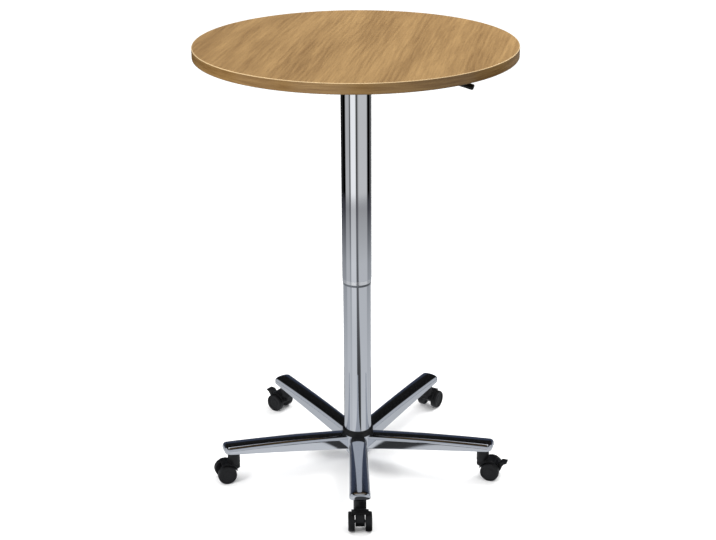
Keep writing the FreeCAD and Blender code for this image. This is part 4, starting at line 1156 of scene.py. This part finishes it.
class TABLE_OT_stage(bpy.types.Operator):
    """Make the floor, the studio light and the camera"""

    bl_idname = "table.stage"
    bl_label = "Stage"

    def execute(self, context):
        self.floor()
        self.sky()
        self.lights()
        self.camera()
        context.scene.view_settings.view_transform = "Standard"
        return {"FINISHED"}

    def floor(self):
        """A pale floor, and a disc that glows for the polished metal alone: the floor near the table as the
        metal mirrors it, a painted reflection with painted shade and a painted dark strip.
        """
        bpy.ops.object.select_all(action="DESELECT")
        bpy.ops.mesh.primitive_plane_add(size=60)
        floor = started("floor")
        finish = Finish("floor", {"Roughness": 0.8, "Base Color": tuple(settings("table_stage").floor)})
        floor.data.materials.append(finish.owner)
        floor.visible_glossy = False
        floor.visible_diffuse = False
        mirrored = turned("mirrored_floor", [(3, 0), (0.02, 0)])
        finish = Finish("mirrored_floor")
        x, y, z = finish.place()
        square = x * x + y * y
        reach = finish.add("ShaderNodeMath", {"operation": "SQRT"}, {0: square})
        side = finish.add("ShaderNodeMath", {"operation": "ARCTAN2"}, {0: x, 1: 0 - y})
        # Painted reflection: a dark strip in front of the column, darkest near the base, standing in for the
        # front arm and its shadow.
        painted_dark_strip = finish.spread(side, -0.09, -0.02) * finish.spread(side, 0.40, 0.52, 1, 0)
        painted_dark_strip = painted_dark_strip * finish.spread(x, 0.24, 0.36, 1, 0) * finish.spread(reach, 1.4, 2.2, 1, 0)
        shade = finish.spread(reach, 0.3, 1.5, 0.93, 0.66)
        open_floor = finish.tint(reach * (1 / 3), FLOOR_TINTS_WITH_SHADE)
        open_floor = finish.mix(finish.spread(reach, 0.4, 2.0, 0.1, 0.5), open_floor, panel_light(finish, side))
        glow = finish.add("ShaderNodeEmission", {}, {"Color": finish.mix(painted_dark_strip * shade, open_floor, (0, 0, 0))})
        clear = finish.add("ShaderNodeBsdfTransparent")
        fade = finish.spread(reach, 2.10, 2.34)
        mixed = finish.add("ShaderNodeMixShader", {}, {0: fade, 1: glow, 2: clear})
        finish.finish_with(mixed)
        mirrored.data.materials.append(finish.owner)
        for kind in ("camera", "diffuse", "shadow", "transmission"):
            setattr(mirrored, f"visible_{kind}", False)

    def sky(self):
        """White to the eye and to matt surfaces; the bands of a dark studio in the polished metal."""
        world = bpy.data.worlds.new("studio")
        bpy.context.scene.world = world
        studio = Finish("studio", owner=world)
        spot = studio.add("ShaderNodeTexCoord", out="Generated")
        x, y, z = (studio.add("ShaderNodeSeparateXYZ", {}, {0: spot}, axis) for axis in range(3))
        side = studio.add("ShaderNodeMath", {"operation": "ARCTAN2"}, {0: x, 1: 0 - y})
        bands = panel_light(studio, side)
        rise = studio.add("ShaderNodeMath", {"operation": "ARCSINE"}, {0: z})
        above = studio.tint(rise * (2 / math.pi), ROOM_HEIGHTS)
        behind = studio.add("ShaderNodeMath", {"operation": "ARCTAN2"}, {0: x, 1: y})
        turn = behind.math("ABSOLUTE", behind)
        window = studio.spread(turn, 0.28, 0.42, 1, 0) * studio.spread(rise, 0.92, 1.02)
        wall = studio.spread(turn, 0.95, 1.2) * studio.spread(rise, 0.75, 0.95, 1, 0)
        above = studio.mix(wall * 0.75, above, rgb(205, 209, 215))
        above = studio.mix(window, above, rgb(225, 228, 233))
        room = studio.mix(studio.spread(z, -0.02, 0.02), bands, above)
        lit = studio.spread(z, 0.0, 1.0, 0.22, 1.7)
        matt = studio.add("ShaderNodeLightPath", out="Is Diffuse Ray")
        glossy = studio.add("ShaderNodeLightPath", out="Is Glossy Ray")
        seen = studio.mix(matt, (1.0, 1.0, 1.0), studio.point(lit, lit, lit))
        seen = studio.mix(glossy, seen, room)
        background = studio.tree.nodes["Background"]
        studio.feed(background, {"Color": seen, "Strength": 1.0})

    def lights(self):
        stage = settings("table_stage")
        for name, place, size, power in (
            ("key", (1.5, 1.2, 2.3), 1.2, stage.key_power),
            ("fill", (-2.2, -1.8, 2.0), 1.0, stage.fill_power),
        ):
            light = bpy.data.lights.new(name, "AREA")
            light.size = size
            light.energy = power
            lamp = bpy.data.objects.new(name, light)
            lamp.location = place
            lamp.rotation_euler = (Vector((0, 0, 0.6)) - Vector(place)).to_track_quat("-Z", "Y").to_euler()
            lamp.visible_glossy = False
            bpy.context.scene.collection.objects.link(lamp)

    def camera(self):
        """Seen from the front and a little above, turned and shifted as the view asks."""
        turn, rise, roll = (math.radians(angle) for angle in (-0.7313, 21.8583, -0.3141))
        back = Vector((math.sin(turn) * math.cos(rise), -math.cos(turn) * math.cos(rise), math.sin(rise)))
        right = Vector((math.cos(turn), math.sin(turn), 0))
        up = back.cross(right)
        across = right * math.cos(roll) + up * math.sin(roll)
        upright = up * math.cos(roll) - right * math.sin(roll)
        target = Vector((0, 0, 0.5514)) + right * 0.002857
        eye = bpy.data.cameras.new("camera")
        eye.sensor_width = 36
        eye.lens = 36 * 1399.96 / 716
        camera = bpy.data.objects.new("camera", eye)
        camera.matrix_world = Matrix.Translation(target + back * 3.6444) @ Matrix(
            (across, upright, back)
        ).transposed().to_4x4()
        bpy.context.scene.collection.objects.link(camera)
        bpy.context.scene.camera = camera


OPERATORS = (
    TABLE_OT_board,
    TABLE_OT_mount,
    TABLE_OT_column,
    TABLE_OT_spring,
    TABLE_OT_lever,
    TABLE_OT_base,
    TABLE_OT_castors,
    TABLE_OT_brakes,
    TABLE_OT_stage,
)


class TABLE_PT_panel(bpy.types.Panel):
    bl_label = "Standing table"
    bl_idname = "TABLE_PT_panel"
    bl_space_type = "VIEW_3D"
    bl_region_type = "UI"
    bl_category = "Table"

    def draw(self, context):
        for operator in OPERATORS:
            self.layout.operator(operator.bl_idname)
        for name, group in GROUPS.items():
            box = self.layout.box()
            for setting in group.__annotations__:
                box.prop(settings(name), setting)


def register():
    for kind in (*GROUPS.values(), *OPERATORS, TABLE_PT_panel):
        bpy.utils.register_class(kind)
    for name, group in GROUPS.items():
        setattr(bpy.types.Scene, name, PointerProperty(type=group))


def unregister():
    for name in GROUPS:
        delattr(bpy.types.Scene, name)
    for kind in (TABLE_PT_panel, *reversed(OPERATORS), *reversed(GROUPS.values())):
        bpy.utils.unregister_class(kind)


def main():
    register()
    FINISHES.update(make_finishes())
    for operator in OPERATORS:
        group, name = operator.bl_idname.split(".")
        getattr(getattr(bpy.ops, group), name)()


if __name__ == "__main__":
    main()
